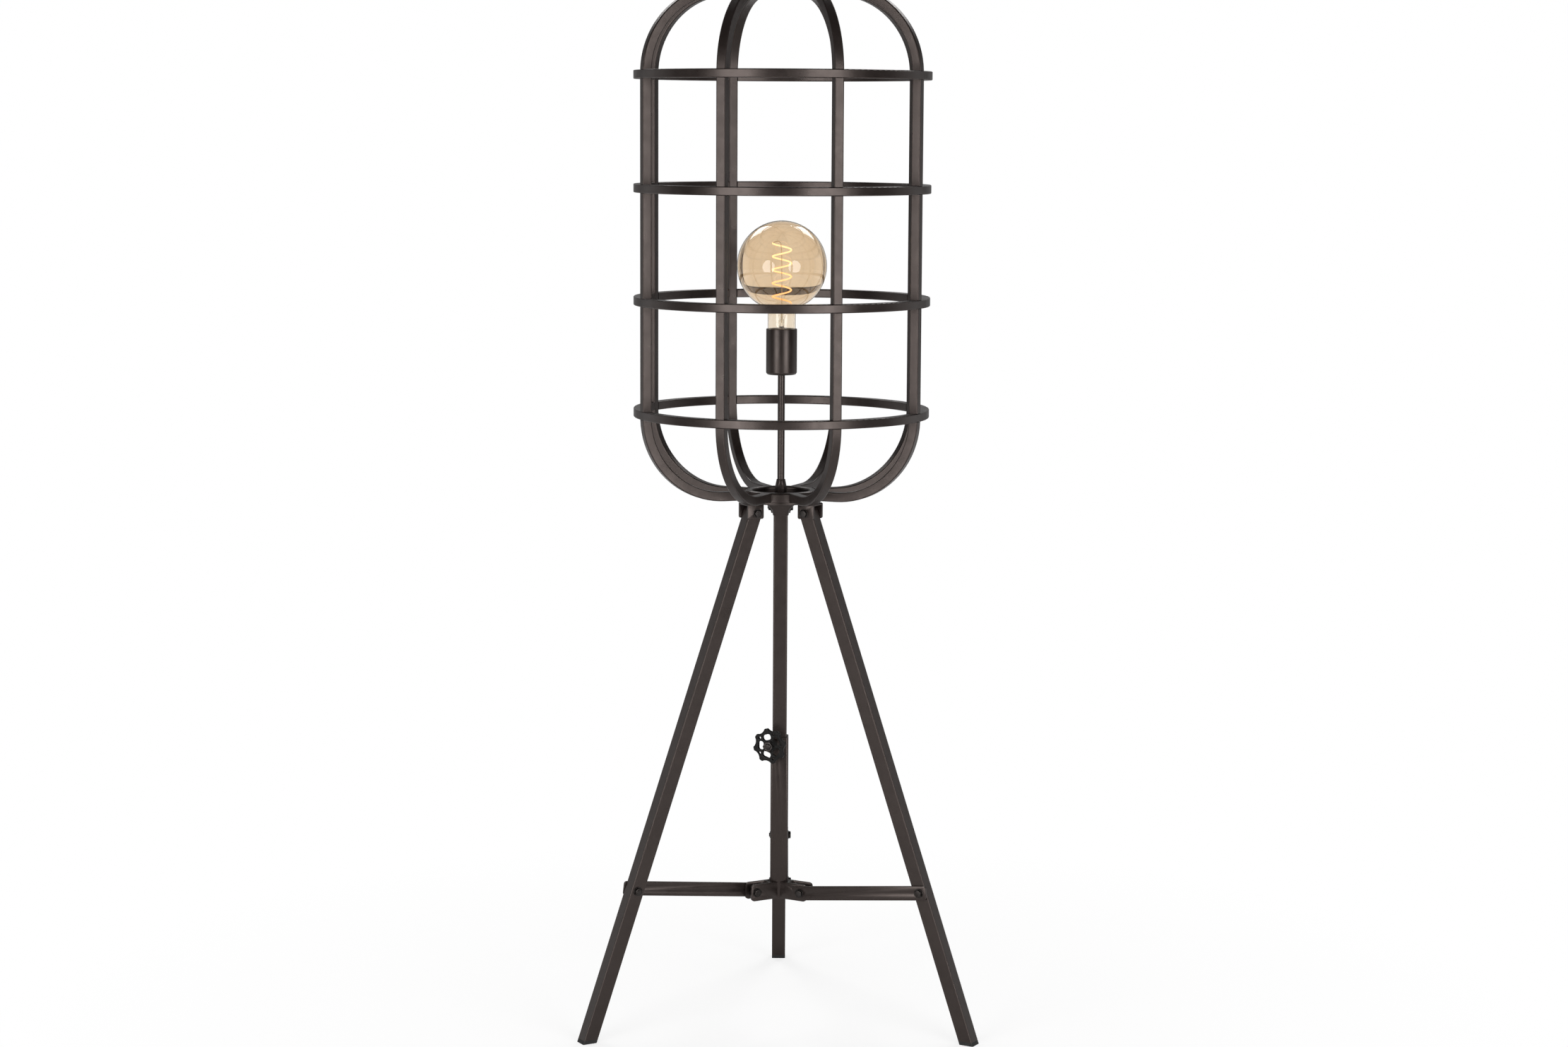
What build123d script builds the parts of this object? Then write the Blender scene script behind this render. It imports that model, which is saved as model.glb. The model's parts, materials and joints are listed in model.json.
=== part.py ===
"""Wire cage floor lamp on a folding tripod, modelled piece by piece in millimetres.

The cage is eight bent square bars and four hoops, half-lapped into each other. It stands on a
base plate over a square column. Three square tube legs hinge under the plate, and three flat
stays tie them to a sleeve that slides on the column and is clamped by a handwheel. A globe bulb
screws into a lampholder on a stem in the middle of the cage.

The lamp stands on the floor at height 0. The origin is the middle of its bounding box's underside,
so the lamp's own upright axis stands at y = AXIS_Y. The photographed side faces -Y.
"""
from build123d import *
import os
from math import atan, atan2, cos, degrees, hypot, pi, radians, sin, sqrt

os.makedirs("parts", exist_ok=True)

# Cage: square bars bent into ribs, and hoops
CAGE_FLOOR = 740.0
CAGE_HEIGHT = 709.0
CAGE_RADIUS = 206.0
CAGE_BEND = 120.0
RIB_COUNT = 8
RIB_TURN = 21.4
RIB_DEPTH = 13.0
RIB_WIDTH = 13.0
RIB_EDGE = 1.6
HOOP_COUNT = 4
HOOP_STEP_HEIGHT = 155.0
HOOP_HEIGHT = 12.0
HOOP_EDGE = 1.3
CROWN_RADIUS = 27.0
CROWN_EDGE = 2.0

# Base of the cage
BASE_RING_RADIUS = 50.0
BASE_RING_WALL = 10.0
BASE_RING_EDGE = 3.0
PLATE_THICKNESS = 4.0
PLATE_EDGE = 1.5

# Stem, its coupling and the nipple that ties cage and column together
STEM_DIAMETER = 10.0
STEM_WALL = 1.0
NIPPLE_DIAMETER = 10.0
NIPPLE_WALL = 1.5
NIPPLE_BELOW_PLATE = 26.0
NIPPLE_IN_COUPLING = 12.0
COUPLING_FLATS = 14.0
COUPLING_HEX_HEIGHT = 17.0
COUPLING_CONE_HEIGHT = 10.5
COUPLING_RIM_WALL = 1.0
STEM_IN_COUPLING = 14.0
THREAD_PLAY = 0.05
LEAD_DIAMETER = 2.2
LEAD_SPACING = 3.2

# Lampholder
HOLDER_FLOOR = 914.0
HOLDER_HEIGHT = 64.0
HOLDER_DIAMETER = 43.0
HOLDER_WALL = 1.5
HOLDER_EDGE = 3.0
STEM_ABOVE_HOLDER_FLOOR = 9.0
STEM_NUT_FLATS = 15.0
STEM_NUT_HEIGHT = 4.0
CORE_DIAMETER = 36.0
CORE_HEIGHT = 34.0
CORE_POCKET = 20.0
CORE_WEB = 4.0
CORE_WEB_FLOOR = 14.0
SHELL_WALL = 0.7
SHELL_HEIGHT = 33.0
SHELL_PLAY = 0.5
CONTACT_DIAMETER = 9.0
CONTACT_HEIGHT = 4.0
CONTACT_EDGE = 1.0

# Globe bulb with a standard 27 mm screw cap
GLOBE_DIAMETER = 125.0
GLASS_WALL = 1.2
NECK_DIAMETER = 39.0
NECK_BLEND = 9.0
NECK_SHOULDER = 12.0
BULB_LENGTH = 190.0
CAP_DIAMETER = 26.0
CAP_WALL = 0.6
CAP_HEIGHT = 24.0
INSULATOR_HEIGHT = 3.0
INSULATOR_LAND = 1.0
GLASS_IN_CAP = 2.0
TIP_DIAMETER = 8.0
TIP_HEIGHT = 1.5
TIP_GAP = 0.3
FILAMENT_RADIUS = 13.0
FILAMENT_TURNS = 4.5
FILAMENT_PITCH = 18.5
FILAMENT_WIRE = 2.2
FILAMENT_ABOVE_CENTRE = -10.5
POST_DIAMETER = 3.0
SUPPORT_DIAMETER = 2.0
FLARE_DIAMETER = 22.0
FLARE_HEIGHT = 20.0

# Column, square tube
COLUMN_SIDE = 20.0
COLUMN_WALL = 2.0
COLUMN_EDGE = 2.0
COLUMN_END = 180.0
COLLAR_SIDE = 44.0
COLLAR_WAIST = 25.0
COLLAR_WAIST_HEIGHT = 11.0
COLLAR_HEIGHT = 19.0
COLLAR_LIP = 0.8
COLLAR_EDGE = 4.0
PLUG_LENGTH = 22.0
END_PLUG_LENGTH = 18.0
END_PLUG_FLANGE = 2.0
OUTLET_DIAMETER = 7.0
OUTLET_RADIUS = 33.0
OUTLET_ANGLE = 160.0
OUTLET_FLANGE = 1.5

# Legs, square tube
LEG_COUNT = 3
LEG_TURN = 90.0
LEG_SIDE = 20.0
LEG_WALL = 1.8
LEG_EDGE = 1.5
LEG_PIVOT_RADIUS = 45.0
LEG_PIVOT_DROP = 13.0
FOOT_REACH = 305.0
FOOT_PAD = 5.0
FOOT_SPIGOT = 22.0
LEG_SOLID_END = 13.0
FIT_PLAY = 0.1

# Brackets under the plate
BRACKET_THICKNESS = 3.0
BRACKET_WEB = 2.0
BRACKET_INNER_RADIUS = 35.0
BRACKET_OUTER_RADIUS = 60.0
BRACKET_HEIGHT = 21.0
BRACKET_CORNER = 2.5
LEG_PLAY = 0.6

# Sleeve on the column
SLEEVE_SIDE = 25.0
SLEEVE_EDGE = 3.0
SLEEVE_PLAY = 0.3
SLEEVE_TOP = 402.0
SLEEVE_BOTTOM = 170.0

# Lugs at the foot of the sleeve, and the flat stays
LUG_HEIGHT = 24.0
LUG_OUTER_RADIUS = 50.0
LUG_WEB_RADIUS = 20.0
LUG_THICKNESS = 3.0
LUG_CORNER = 5.0
STAY_PIVOT_RADIUS = 41.0
STAY_WIDTH = 20.0
STAY_THICKNESS = 3.0
STAY_CORNER = 4.0
STAY_OVERHANG = 11.0
STAY_PLAY = 0.4
STAY_ON_LEG = 549.0

# Bolts of the hinges
BOLT_DIAMETER = 6.0
BOLT_FLATS = 10.0
BOLT_HEAD = 4.0
NUT_HEIGHT = 5.0
RUNNING_PLAY = 0.1

# Clamp screw and handwheel
CLAMP_BELOW_TOP = 8.5
CLAMP_TURN = 246.0
SCREW_DIAMETER = 8.0
SCREW_TIP = 12.8
SCREW_END = 43.0
SCREW_EDGE = 1.0
BOSS_DIAMETER = 13.0
BOSS_END = 24.0
WHEEL_DIAMETER = 50.0
WHEEL_LOBES = 8
WHEEL_LOBE_TURN = 12.6
WHEEL_SCALLOP = 11.0
WHEEL_SCALLOP_DEPTH = 3.6
WHEEL_THICKNESS = 5.0
WHEEL_RIM_EDGE = 1.2
WHEEL_FACE = 36.0
WHEEL_HUB_DIAMETER = 16.0
WHEEL_HUB_BACK = 24.6
WHEEL_HUB_FRONT = 38.0
WHEEL_WINDOWS = 5
WHEEL_WINDOW_TURN = 35.7
WINDOW_RADIUS = 12.8
WINDOW_WIDTH = 8.4
WINDOW_LENGTH = 12.6
WINDOW_CORNER = 3.6
WHEEL_HOLE_RADIUS = 18.2
WHEEL_HOLE_DIAMETER = 4.0
WHEEL_NUT_FLATS = 13.0
WHEEL_NUT_HEIGHT = 4.0

# How far a cutting shape reaches past what it cuts
CUT_MARGIN = 1.0

# Worked out from the sizes above
CAGE_TOP = CAGE_FLOOR + CAGE_HEIGHT
CAGE_MIDDLE = CAGE_FLOOR + CAGE_HEIGHT / 2
HALF_LAP = RIB_DEPTH / 2
PLATE_UNDERSIDE = CAGE_FLOOR - PLATE_THICKNESS
LEG_PIVOT_HEIGHT = PLATE_UNDERSIDE - LEG_PIVOT_DROP
STAY_PIVOT_HEIGHT = SLEEVE_BOTTOM + LUG_HEIGHT / 2
CLAMP_HEIGHT = SLEEVE_TOP - CLAMP_BELOW_TOP
LEG_SPLAY = degrees(atan((FOOT_REACH - LEG_PIVOT_RADIUS) / LEG_PIVOT_HEIGHT))
LEG_LENGTH = hypot(FOOT_REACH - LEG_PIVOT_RADIUS, LEG_PIVOT_HEIGHT)
LEG_ANGLES = [LEG_TURN + copy * 360 / LEG_COUNT for copy in range(LEG_COUNT)]
FOOT_EDGE = FOOT_REACH + LEG_SIDE / 2 / cos(radians(LEG_SPLAY))
AXIS_Y = (CAGE_RADIUS - FOOT_EDGE) / 2
STAY_TIP_RADIUS = LEG_PIVOT_RADIUS + STAY_ON_LEG * sin(radians(LEG_SPLAY))
STAY_TIP_HEIGHT = LEG_PIVOT_HEIGHT - STAY_ON_LEG * cos(radians(LEG_SPLAY))
STAY_RUN = STAY_TIP_RADIUS - STAY_PIVOT_RADIUS
STAY_RISE = STAY_TIP_HEIGHT - STAY_PIVOT_HEIGHT
STAY_LENGTH = hypot(STAY_RUN, STAY_RISE)
STAY_OFFSET = LEG_SIDE / 2 + STAY_PLAY + STAY_THICKNESS / 2
LUG_GAP = LEG_SIDE - 2 * LUG_THICKNESS
COLLAR_FOOT = COLUMN_SIDE + 2 * COLLAR_LIP
BRACKET_GAP = LEG_SIDE + 2 * LEG_PLAY
HOLDER_BORE = HOLDER_DIAMETER - 2 * HOLDER_WALL
CORE_FLOOR = HOLDER_FLOOR + HOLDER_WALL
SHELL_FLOOR = CORE_FLOOR + CORE_WEB_FLOOR + CORE_WEB
SHELL_BORE = CAP_DIAMETER + 2 * SHELL_PLAY
CONTACT_TOP = SHELL_FLOOR + CONTACT_HEIGHT
BULB_TIP = CONTACT_TOP + TIP_GAP
GLOBE_CENTRE = BULB_TIP + BULB_LENGTH - GLOBE_DIAMETER / 2
CAP_FLOOR = BULB_TIP + TIP_HEIGHT + INSULATOR_HEIGHT
CAP_TOP = CAP_FLOOR + CAP_HEIGHT


def level(height):
    """A horizontal plane at a height above the floor, with its origin on the lamp's axis."""
    return Plane(origin=(0, AXIS_Y, height))


def side_view(angle):
    """The upright plane through the axis: X runs outwards at the angle, Y runs up."""
    outwards = Vector(1, 0, 0).rotate(Axis.Z, angle)
    return Plane(origin=(0, AXIS_Y, 0), x_dir=outwards, z_dir=outwards.cross(Vector(0, 0, 1)))


def tilted_view(angle, radius, height, run, rise, aside=0.0):
    """A plane beside side_view(angle), with its origin at a pivot and X along a bar from it."""
    base = side_view(angle)
    origin = base.from_local_coords(Vector(radius, height, aside))
    along = (base.x_dir * run + base.y_dir * rise).normalized()
    return Plane(origin=origin, x_dir=along, z_dir=base.z_dir)


def leg_view(angle, aside=0.0):
    """The leg's own plane: origin at its top pivot, X down the leg."""
    return tilted_view(angle, LEG_PIVOT_RADIUS, LEG_PIVOT_HEIGHT,
                       FOOT_REACH - LEG_PIVOT_RADIUS, -LEG_PIVOT_HEIGHT, aside)


def stay_view(angle, aside=0.0):
    """The stay's own plane: origin at its pivot on the sleeve, X along the stay."""
    return tilted_view(angle, STAY_PIVOT_RADIUS, STAY_PIVOT_HEIGHT, STAY_RUN, STAY_RISE, aside)


def tip_view(angle, aside=0.0):
    """The plane of the bolt that joins a stay to its leg, at a distance to the leg's side."""
    return tilted_view(angle, STAY_TIP_RADIUS, STAY_TIP_HEIGHT, 1, 0, aside)


def clamp_view(distance):
    """A plane square to the clamp screw, at a distance from the lamp's axis."""
    outwards = Vector(1, 0, 0).rotate(Axis.Z, CLAMP_TURN)
    origin = Vector(0, AXIS_Y, CLAMP_HEIGHT) + outwards * distance
    return Plane(origin=origin, x_dir=Vector(0, 0, 1).cross(outwards), z_dir=outwards)


def save(piece, name):
    """Label a finished piece and write it."""
    piece.part.label = name
    export_step(piece.part, f"parts/{name}.step")


# ---------------------------------------------------------------- cage

def cage_rib(name, angle):
    """One bent bar, coped to the base ring and the crown and notched for the hoops."""
    middle_radius = CAGE_RADIUS - RIB_DEPTH / 2
    low = CAGE_FLOOR + RIB_DEPTH / 2
    high = CAGE_TOP - RIB_DEPTH / 2
    bite = RIB_WIDTH / 2
    with BuildPart() as rib:
        with BuildLine(side_view(angle)) as path:
            FilletPolyline((BASE_RING_RADIUS - bite, low), (middle_radius, low),
                           (middle_radius, high), (CROWN_RADIUS - bite, high),
                           radius=CAGE_BEND - RIB_DEPTH / 2)
        with BuildSketch(Plane(origin=path.line @ 0, x_dir=(0, 0, 1), z_dir=path.line % 0)):
            RectangleRounded(RIB_DEPTH, RIB_WIDTH, RIB_EDGE)
        sweep()
        with BuildSketch(level(CAGE_FLOOR - CUT_MARGIN)):
            Circle(BASE_RING_RADIUS)
        extrude(amount=CAGE_HEIGHT / 2, mode=Mode.SUBTRACT)
        with BuildSketch(level(CAGE_MIDDLE)):
            Circle(CROWN_RADIUS)
        extrude(amount=CAGE_HEIGHT / 2 + CUT_MARGIN, mode=Mode.SUBTRACT)
        with BuildSketch(side_view(angle)):
            with Locations((CAGE_RADIUS, CAGE_MIDDLE)):
                with GridLocations(1, HOOP_STEP_HEIGHT, 1, HOOP_COUNT):
                    Rectangle(2 * HALF_LAP, HOOP_HEIGHT)
        extrude(amount=RIB_WIDTH, both=True, mode=Mode.SUBTRACT)
    save(rib, name)


def cage_hoop(name, height):
    """One hoop, notched on its inside so that the ribs lie flush in it."""
    notch_radius = CAGE_RADIUS - HALF_LAP - RIB_DEPTH / 2
    with BuildPart() as hoop:
        with BuildSketch(level(height)):
            Circle(CAGE_RADIUS)
            Circle(CAGE_RADIUS - RIB_DEPTH, mode=Mode.SUBTRACT)
        extrude(amount=HOOP_HEIGHT / 2, both=True)
        fillet(hoop.edges().filter_by(GeomType.CIRCLE), HOOP_EDGE)
        with BuildSketch(level(height)):
            with PolarLocations(notch_radius, RIB_COUNT, start_angle=RIB_TURN):
                Rectangle(RIB_DEPTH, RIB_WIDTH)
        extrude(amount=HOOP_HEIGHT, both=True, mode=Mode.SUBTRACT)
    save(hoop, name)


for copy in range(RIB_COUNT):
    cage_rib(f"cage_rib_{copy + 1}", RIB_TURN + copy * 360 / RIB_COUNT)

for copy in range(HOOP_COUNT):
    cage_hoop(f"cage_hoop_{copy + 1}", CAGE_MIDDLE + (copy - (HOOP_COUNT - 1) / 2) * HOOP_STEP_HEIGHT)

with BuildPart() as cage_crown:
    with BuildSketch(level(CAGE_TOP)):
        Circle(CROWN_RADIUS)
    extrude(amount=-RIB_DEPTH)
    fillet(cage_crown.edges().filter_by(GeomType.CIRCLE), CROWN_EDGE)
save(cage_crown, "cage_crown")

with BuildPart() as base_ring:
    with BuildSketch(level(CAGE_FLOOR)):
        Circle(BASE_RING_RADIUS)
        Circle(BASE_RING_RADIUS - BASE_RING_WALL, mode=Mode.SUBTRACT)
    extrude(amount=RIB_DEPTH)
    fillet(base_ring.faces().sort_by(Axis.Z)[-1].edges(), BASE_RING_EDGE)
save(base_ring, "base_ring")

with BuildPart() as base_plate:
    with BuildSketch(level(CAGE_FLOOR)):
        Circle(BASE_RING_RADIUS)
        Circle(NIPPLE_DIAMETER / 2 + THREAD_PLAY, mode=Mode.SUBTRACT)
        with PolarLocations(OUTLET_RADIUS, 1, start_angle=OUTLET_ANGLE):
            Circle(OUTLET_DIAMETER / 2 + OUTLET_FLANGE, mode=Mode.SUBTRACT)
    extrude(amount=-PLATE_THICKNESS)
    fillet(base_plate.faces().sort_by(Axis.Z)[0].outer_wire().edges(), PLATE_EDGE)
save(base_plate, "base_plate")

with BuildPart() as cord_outlet_bush:
    with BuildSketch(level(CAGE_FLOOR)):
        with PolarLocations(OUTLET_RADIUS, 1, start_angle=OUTLET_ANGLE):
            Circle(OUTLET_DIAMETER / 2 + OUTLET_FLANGE)
    extrude(amount=-PLATE_THICKNESS)
    with BuildSketch(level(CAGE_FLOOR), level(PLATE_UNDERSIDE - OUTLET_FLANGE)):
        with PolarLocations(OUTLET_RADIUS, 1, start_angle=OUTLET_ANGLE):
            Circle(OUTLET_DIAMETER / 2 + 2 * OUTLET_FLANGE)
    extrude(amount=OUTLET_FLANGE)
    with BuildSketch(level(CAGE_FLOOR + OUTLET_FLANGE)):
        with PolarLocations(OUTLET_RADIUS, 1, start_angle=OUTLET_ANGLE):
            Circle(OUTLET_DIAMETER / 2)
    extrude(amount=-PLATE_THICKNESS - 2 * OUTLET_FLANGE, mode=Mode.SUBTRACT)
save(cord_outlet_bush, "cord_outlet_bush")

# ---------------------------------------------------------------- stem and lampholder

COUPLING_SHOULDER = CAGE_FLOOR + COUPLING_HEX_HEIGHT
COUPLING_TOP = COUPLING_SHOULDER + COUPLING_CONE_HEIGHT
COUPLING_RIM = STEM_DIAMETER / 2 + COUPLING_RIM_WALL
COUPLING_CORNER = COUPLING_FLATS / sqrt(3)
CONE_SLOPE = COUPLING_CONE_HEIGHT / (COUPLING_CORNER - COUPLING_RIM)
STEM_FLOOR = COUPLING_TOP - STEM_IN_COUPLING
STEM_TOP = HOLDER_FLOOR + HOLDER_WALL + STEM_ABOVE_HOLDER_FLOOR

with BuildPart() as stem_coupling:
    with BuildSketch(level(CAGE_FLOOR)):
        RegularPolygon(COUPLING_FLATS / 2, 6, major_radius=False)
    extrude(amount=COUPLING_HEX_HEIGHT + COUPLING_CONE_HEIGHT)
    with BuildSketch(side_view(0)):
        with BuildLine():
            Polyline((0, CAGE_FLOOR - CUT_MARGIN),
                     (COUPLING_CORNER + CUT_MARGIN, CAGE_FLOOR - CUT_MARGIN),
                     (COUPLING_CORNER + CUT_MARGIN, COUPLING_SHOULDER - CONE_SLOPE * CUT_MARGIN),
                     (COUPLING_RIM, COUPLING_TOP), (0, COUPLING_TOP), close=True)
        make_face()
    revolve(axis=Axis((0, AXIS_Y, 0), (0, 0, 1)), mode=Mode.INTERSECT)
    with BuildSketch(level(CAGE_FLOOR)):
        Circle(NIPPLE_DIAMETER / 2 + THREAD_PLAY)
    extrude(amount=NIPPLE_IN_COUPLING, mode=Mode.SUBTRACT)
    with BuildSketch(level(STEM_FLOOR)):
        Circle(STEM_DIAMETER / 2 + THREAD_PLAY)
    extrude(amount=STEM_IN_COUPLING, mode=Mode.SUBTRACT)
    with BuildSketch(level(CAGE_FLOOR)):
        Circle(NIPPLE_DIAMETER / 2 - NIPPLE_WALL)
    extrude(amount=COUPLING_TOP - CAGE_FLOOR, mode=Mode.SUBTRACT)
save(stem_coupling, "stem_coupling")

with BuildPart() as base_nipple:
    with BuildSketch(level(PLATE_UNDERSIDE - NIPPLE_BELOW_PLATE)):
        Circle(NIPPLE_DIAMETER / 2)
        Circle(NIPPLE_DIAMETER / 2 - NIPPLE_WALL, mode=Mode.SUBTRACT)
    extrude(amount=NIPPLE_BELOW_PLATE + PLATE_THICKNESS + NIPPLE_IN_COUPLING)
save(base_nipple, "base_nipple")

with BuildPart() as stem_tube:
    with BuildSketch(level(STEM_FLOOR)):
        Circle(STEM_DIAMETER / 2)
        Circle(STEM_DIAMETER / 2 - STEM_WALL, mode=Mode.SUBTRACT)
    extrude(amount=STEM_TOP - STEM_FLOOR)
save(stem_tube, "stem_tube")

with BuildPart() as supply_leads:
    with BuildSketch(level(PLATE_UNDERSIDE)):
        with GridLocations(LEAD_SPACING, 1, 2, 1):
            Circle(LEAD_DIAMETER / 2)
    extrude(amount=CORE_FLOOR + CORE_WEB_FLOOR - PLATE_UNDERSIDE)
save(supply_leads, "supply_leads")

with BuildPart() as lampholder_cup:
    with BuildSketch(level(HOLDER_FLOOR)):
        Circle(HOLDER_DIAMETER / 2)
    extrude(amount=HOLDER_HEIGHT)
    fillet(lampholder_cup.faces().sort_by(Axis.Z)[0].edges(), HOLDER_EDGE)
    with BuildSketch(level(HOLDER_FLOOR + HOLDER_WALL)):
        Circle(HOLDER_BORE / 2)
    extrude(amount=HOLDER_HEIGHT, mode=Mode.SUBTRACT)
    fillet(lampholder_cup.faces().sort_by(Axis.Z)[-1].edges(), HOLDER_WALL / 3)
    with BuildSketch(level(HOLDER_FLOOR)):
        Circle(STEM_DIAMETER / 2 + THREAD_PLAY)
    extrude(amount=HOLDER_HEIGHT, mode=Mode.SUBTRACT)
save(lampholder_cup, "lampholder_cup")

with BuildPart() as stem_lock_nut:
    with BuildSketch(level(CORE_FLOOR)):
        RegularPolygon(STEM_NUT_FLATS / 2, 6, major_radius=False)
        Circle(STEM_DIAMETER / 2 + THREAD_PLAY, mode=Mode.SUBTRACT)
    extrude(amount=STEM_NUT_HEIGHT)
save(stem_lock_nut, "stem_lock_nut")

with BuildPart() as lampholder_core:
    with BuildSketch(level(CORE_FLOOR)):
        Circle(CORE_DIAMETER / 2)
        Circle(CORE_POCKET / 2, mode=Mode.SUBTRACT)
    extrude(amount=CORE_WEB_FLOOR)
    with BuildSketch(level(CORE_FLOOR + CORE_WEB_FLOOR)):
        Circle(CORE_DIAMETER / 2)
    extrude(amount=CORE_WEB)
    with BuildSketch(level(SHELL_FLOOR)):
        Circle(CORE_DIAMETER / 2)
        Circle(SHELL_BORE / 2 + SHELL_WALL, mode=Mode.SUBTRACT)
    extrude(amount=CORE_HEIGHT - CORE_WEB_FLOOR - CORE_WEB)
save(lampholder_core, "lampholder_core")

with BuildPart() as lampholder_screw_shell:
    with BuildSketch(level(SHELL_FLOOR)):
        Circle(SHELL_BORE / 2 + SHELL_WALL)
        Circle(SHELL_BORE / 2, mode=Mode.SUBTRACT)
    extrude(amount=SHELL_HEIGHT)
save(lampholder_screw_shell, "lampholder_screw_shell")

with BuildPart() as lampholder_contact:
    with BuildSketch(level(SHELL_FLOOR)):
        Circle(CONTACT_DIAMETER / 2)
    extrude(amount=CONTACT_TOP - SHELL_FLOOR)
    fillet(lampholder_contact.faces().sort_by(Axis.Z)[-1].edges(), CONTACT_EDGE)
save(lampholder_contact, "lampholder_contact")

# ---------------------------------------------------------------- bulb

def bulb_skin(inset):
    """Half outline of the glass in the side view, moved inwards by an inset."""
    ball = GLOBE_DIAMETER / 2 - inset
    neck = NECK_DIAMETER / 2 - inset
    blend = NECK_BLEND + inset
    drop = sqrt((ball + blend) ** 2 - (neck + blend) ** 2)
    blend_centre = (neck + blend, GLOBE_CENTRE - drop)
    towards = 1 - blend / (ball + blend)
    meeting = (blend_centre[0] * towards, GLOBE_CENTRE - drop * towards)
    shoulder_radius = CAP_DIAMETER / 2 - CAP_WALL - inset
    shoulder_rise = CAP_TOP + NECK_SHOULDER
    top = (0, GLOBE_CENTRE + ball)
    side = (ball, GLOBE_CENTRE)
    waist = (neck, blend_centre[1])
    half_turn = atan2(meeting[1] - blend_centre[1], meeting[0] - blend_centre[0])
    half_way = (pi + half_turn) / 2
    bulge = (blend_centre[0] + blend * cos(half_way), blend_centre[1] + blend * sin(half_way))
    foot = CAP_TOP - GLASS_IN_CAP
    Polyline((0, foot), (shoulder_radius, foot), (shoulder_radius, CAP_TOP),
             (neck, shoulder_rise), waist)
    ThreePointArc(waist, bulge, meeting)
    turn = atan2(meeting[1] - GLOBE_CENTRE, meeting[0])
    swell = (ball * cos(turn / 2), GLOBE_CENTRE + ball * sin(turn / 2))
    ThreePointArc(meeting, swell, side)
    ThreePointArc(side, (ball * cos(pi / 4), GLOBE_CENTRE + ball * sin(pi / 4)), top)
    Line(top, (0, foot))


with BuildPart() as bulb_globe:
    with BuildSketch(side_view(0)):
        with BuildLine():
            bulb_skin(0)
        make_face()
    revolve(axis=Axis((0, AXIS_Y, 0), (0, 0, 1)))
    with BuildSketch(side_view(0)):
        with BuildLine():
            bulb_skin(GLASS_WALL)
        make_face()
    revolve(axis=Axis((0, AXIS_Y, 0), (0, 0, 1)), mode=Mode.SUBTRACT)
save(bulb_globe, "bulb_globe")

with BuildPart() as bulb_cap:
    with BuildSketch(level(CAP_FLOOR)):
        Circle(CAP_DIAMETER / 2)
        Circle(CAP_DIAMETER / 2 - CAP_WALL, mode=Mode.SUBTRACT)
    extrude(amount=CAP_HEIGHT)
    with BuildSketch(level(CAP_FLOOR)):
        Circle(CAP_DIAMETER / 2)
        Circle(TIP_DIAMETER / 2, mode=Mode.SUBTRACT)
    extrude(amount=CAP_WALL)
save(bulb_cap, "bulb_cap")

with BuildPart() as bulb_insulator:
    with BuildSketch(level(CAP_FLOOR)):
        Circle(CAP_DIAMETER / 2 - CAP_WALL)
    with BuildSketch(level(CAP_FLOOR - INSULATOR_HEIGHT)):
        Circle(TIP_DIAMETER / 2 + INSULATOR_LAND)
    loft()
save(bulb_insulator, "bulb_insulator")

with BuildPart() as bulb_tip:
    with BuildSketch(level(BULB_TIP)):
        Circle(TIP_DIAMETER / 2)
    extrude(amount=TIP_HEIGHT)
    fillet(bulb_tip.faces().sort_by(Axis.Z)[0].edges(), TIP_HEIGHT / 2)
save(bulb_tip, "bulb_tip")

FLARE_FLOOR = CAP_TOP
FILAMENT_HEIGHT = FILAMENT_TURNS * FILAMENT_PITCH
FILAMENT_FLOOR = GLOBE_CENTRE + FILAMENT_ABOVE_CENTRE - FILAMENT_HEIGHT / 2
POST_TOP = FILAMENT_FLOOR + FILAMENT_HEIGHT


def filament_point(turns):
    """A point of the coil, counted in turns up from its lower end."""
    angle = 2 * pi * turns
    return Vector(FILAMENT_RADIUS * cos(angle), AXIS_Y + FILAMENT_RADIUS * sin(angle),
                  FILAMENT_FLOOR + FILAMENT_PITCH * turns)


with BuildPart() as bulb_filament:
    quarters = round(FILAMENT_TURNS * 4)
    with BuildLine() as coil:
        for quarter in range(quarters):
            ThreePointArc(filament_point(quarter / 4), filament_point((quarter + 0.5) / 4),
                          filament_point((quarter + 1) / 4))
    with BuildSketch(Plane(origin=coil.line @ 0, z_dir=coil.line % 0)):
        Circle(FILAMENT_WIRE / 2)
    sweep()
save(bulb_filament, "bulb_filament")

with BuildPart() as bulb_mount:
    with BuildSketch(level(FLARE_FLOOR)):
        Circle(FLARE_DIAMETER / 2)
    with BuildSketch(level(FLARE_FLOOR + FLARE_HEIGHT)):
        Circle(POST_DIAMETER)
    loft()
    with BuildSketch(level(FLARE_FLOOR + FLARE_HEIGHT)):
        Circle(POST_DIAMETER / 2)
    extrude(amount=POST_TOP - FLARE_FLOOR - FLARE_HEIGHT + FILAMENT_WIRE)
    with BuildSketch(Plane.YZ):
        with Locations((AXIS_Y, FILAMENT_FLOOR)):
            Circle(SUPPORT_DIAMETER / 2)
    extrude(amount=FILAMENT_RADIUS - FILAMENT_WIRE / 2)
    with BuildSketch(Plane.YZ):
        with Locations((AXIS_Y, POST_TOP)):
            Circle(SUPPORT_DIAMETER / 2)
    extrude(amount=FILAMENT_WIRE / 2 - FILAMENT_RADIUS)
save(bulb_mount, "bulb_mount")

# ---------------------------------------------------------------- column and sleeve

with BuildPart() as column:
    with BuildSketch(level(COLUMN_END)):
        RectangleRounded(COLUMN_SIDE, COLUMN_SIDE, COLUMN_EDGE)
        Rectangle(COLUMN_SIDE - 2 * COLUMN_WALL, COLUMN_SIDE - 2 * COLUMN_WALL, mode=Mode.SUBTRACT)
    extrude(amount=PLATE_UNDERSIDE - COLUMN_END)
save(column, "column")

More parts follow.
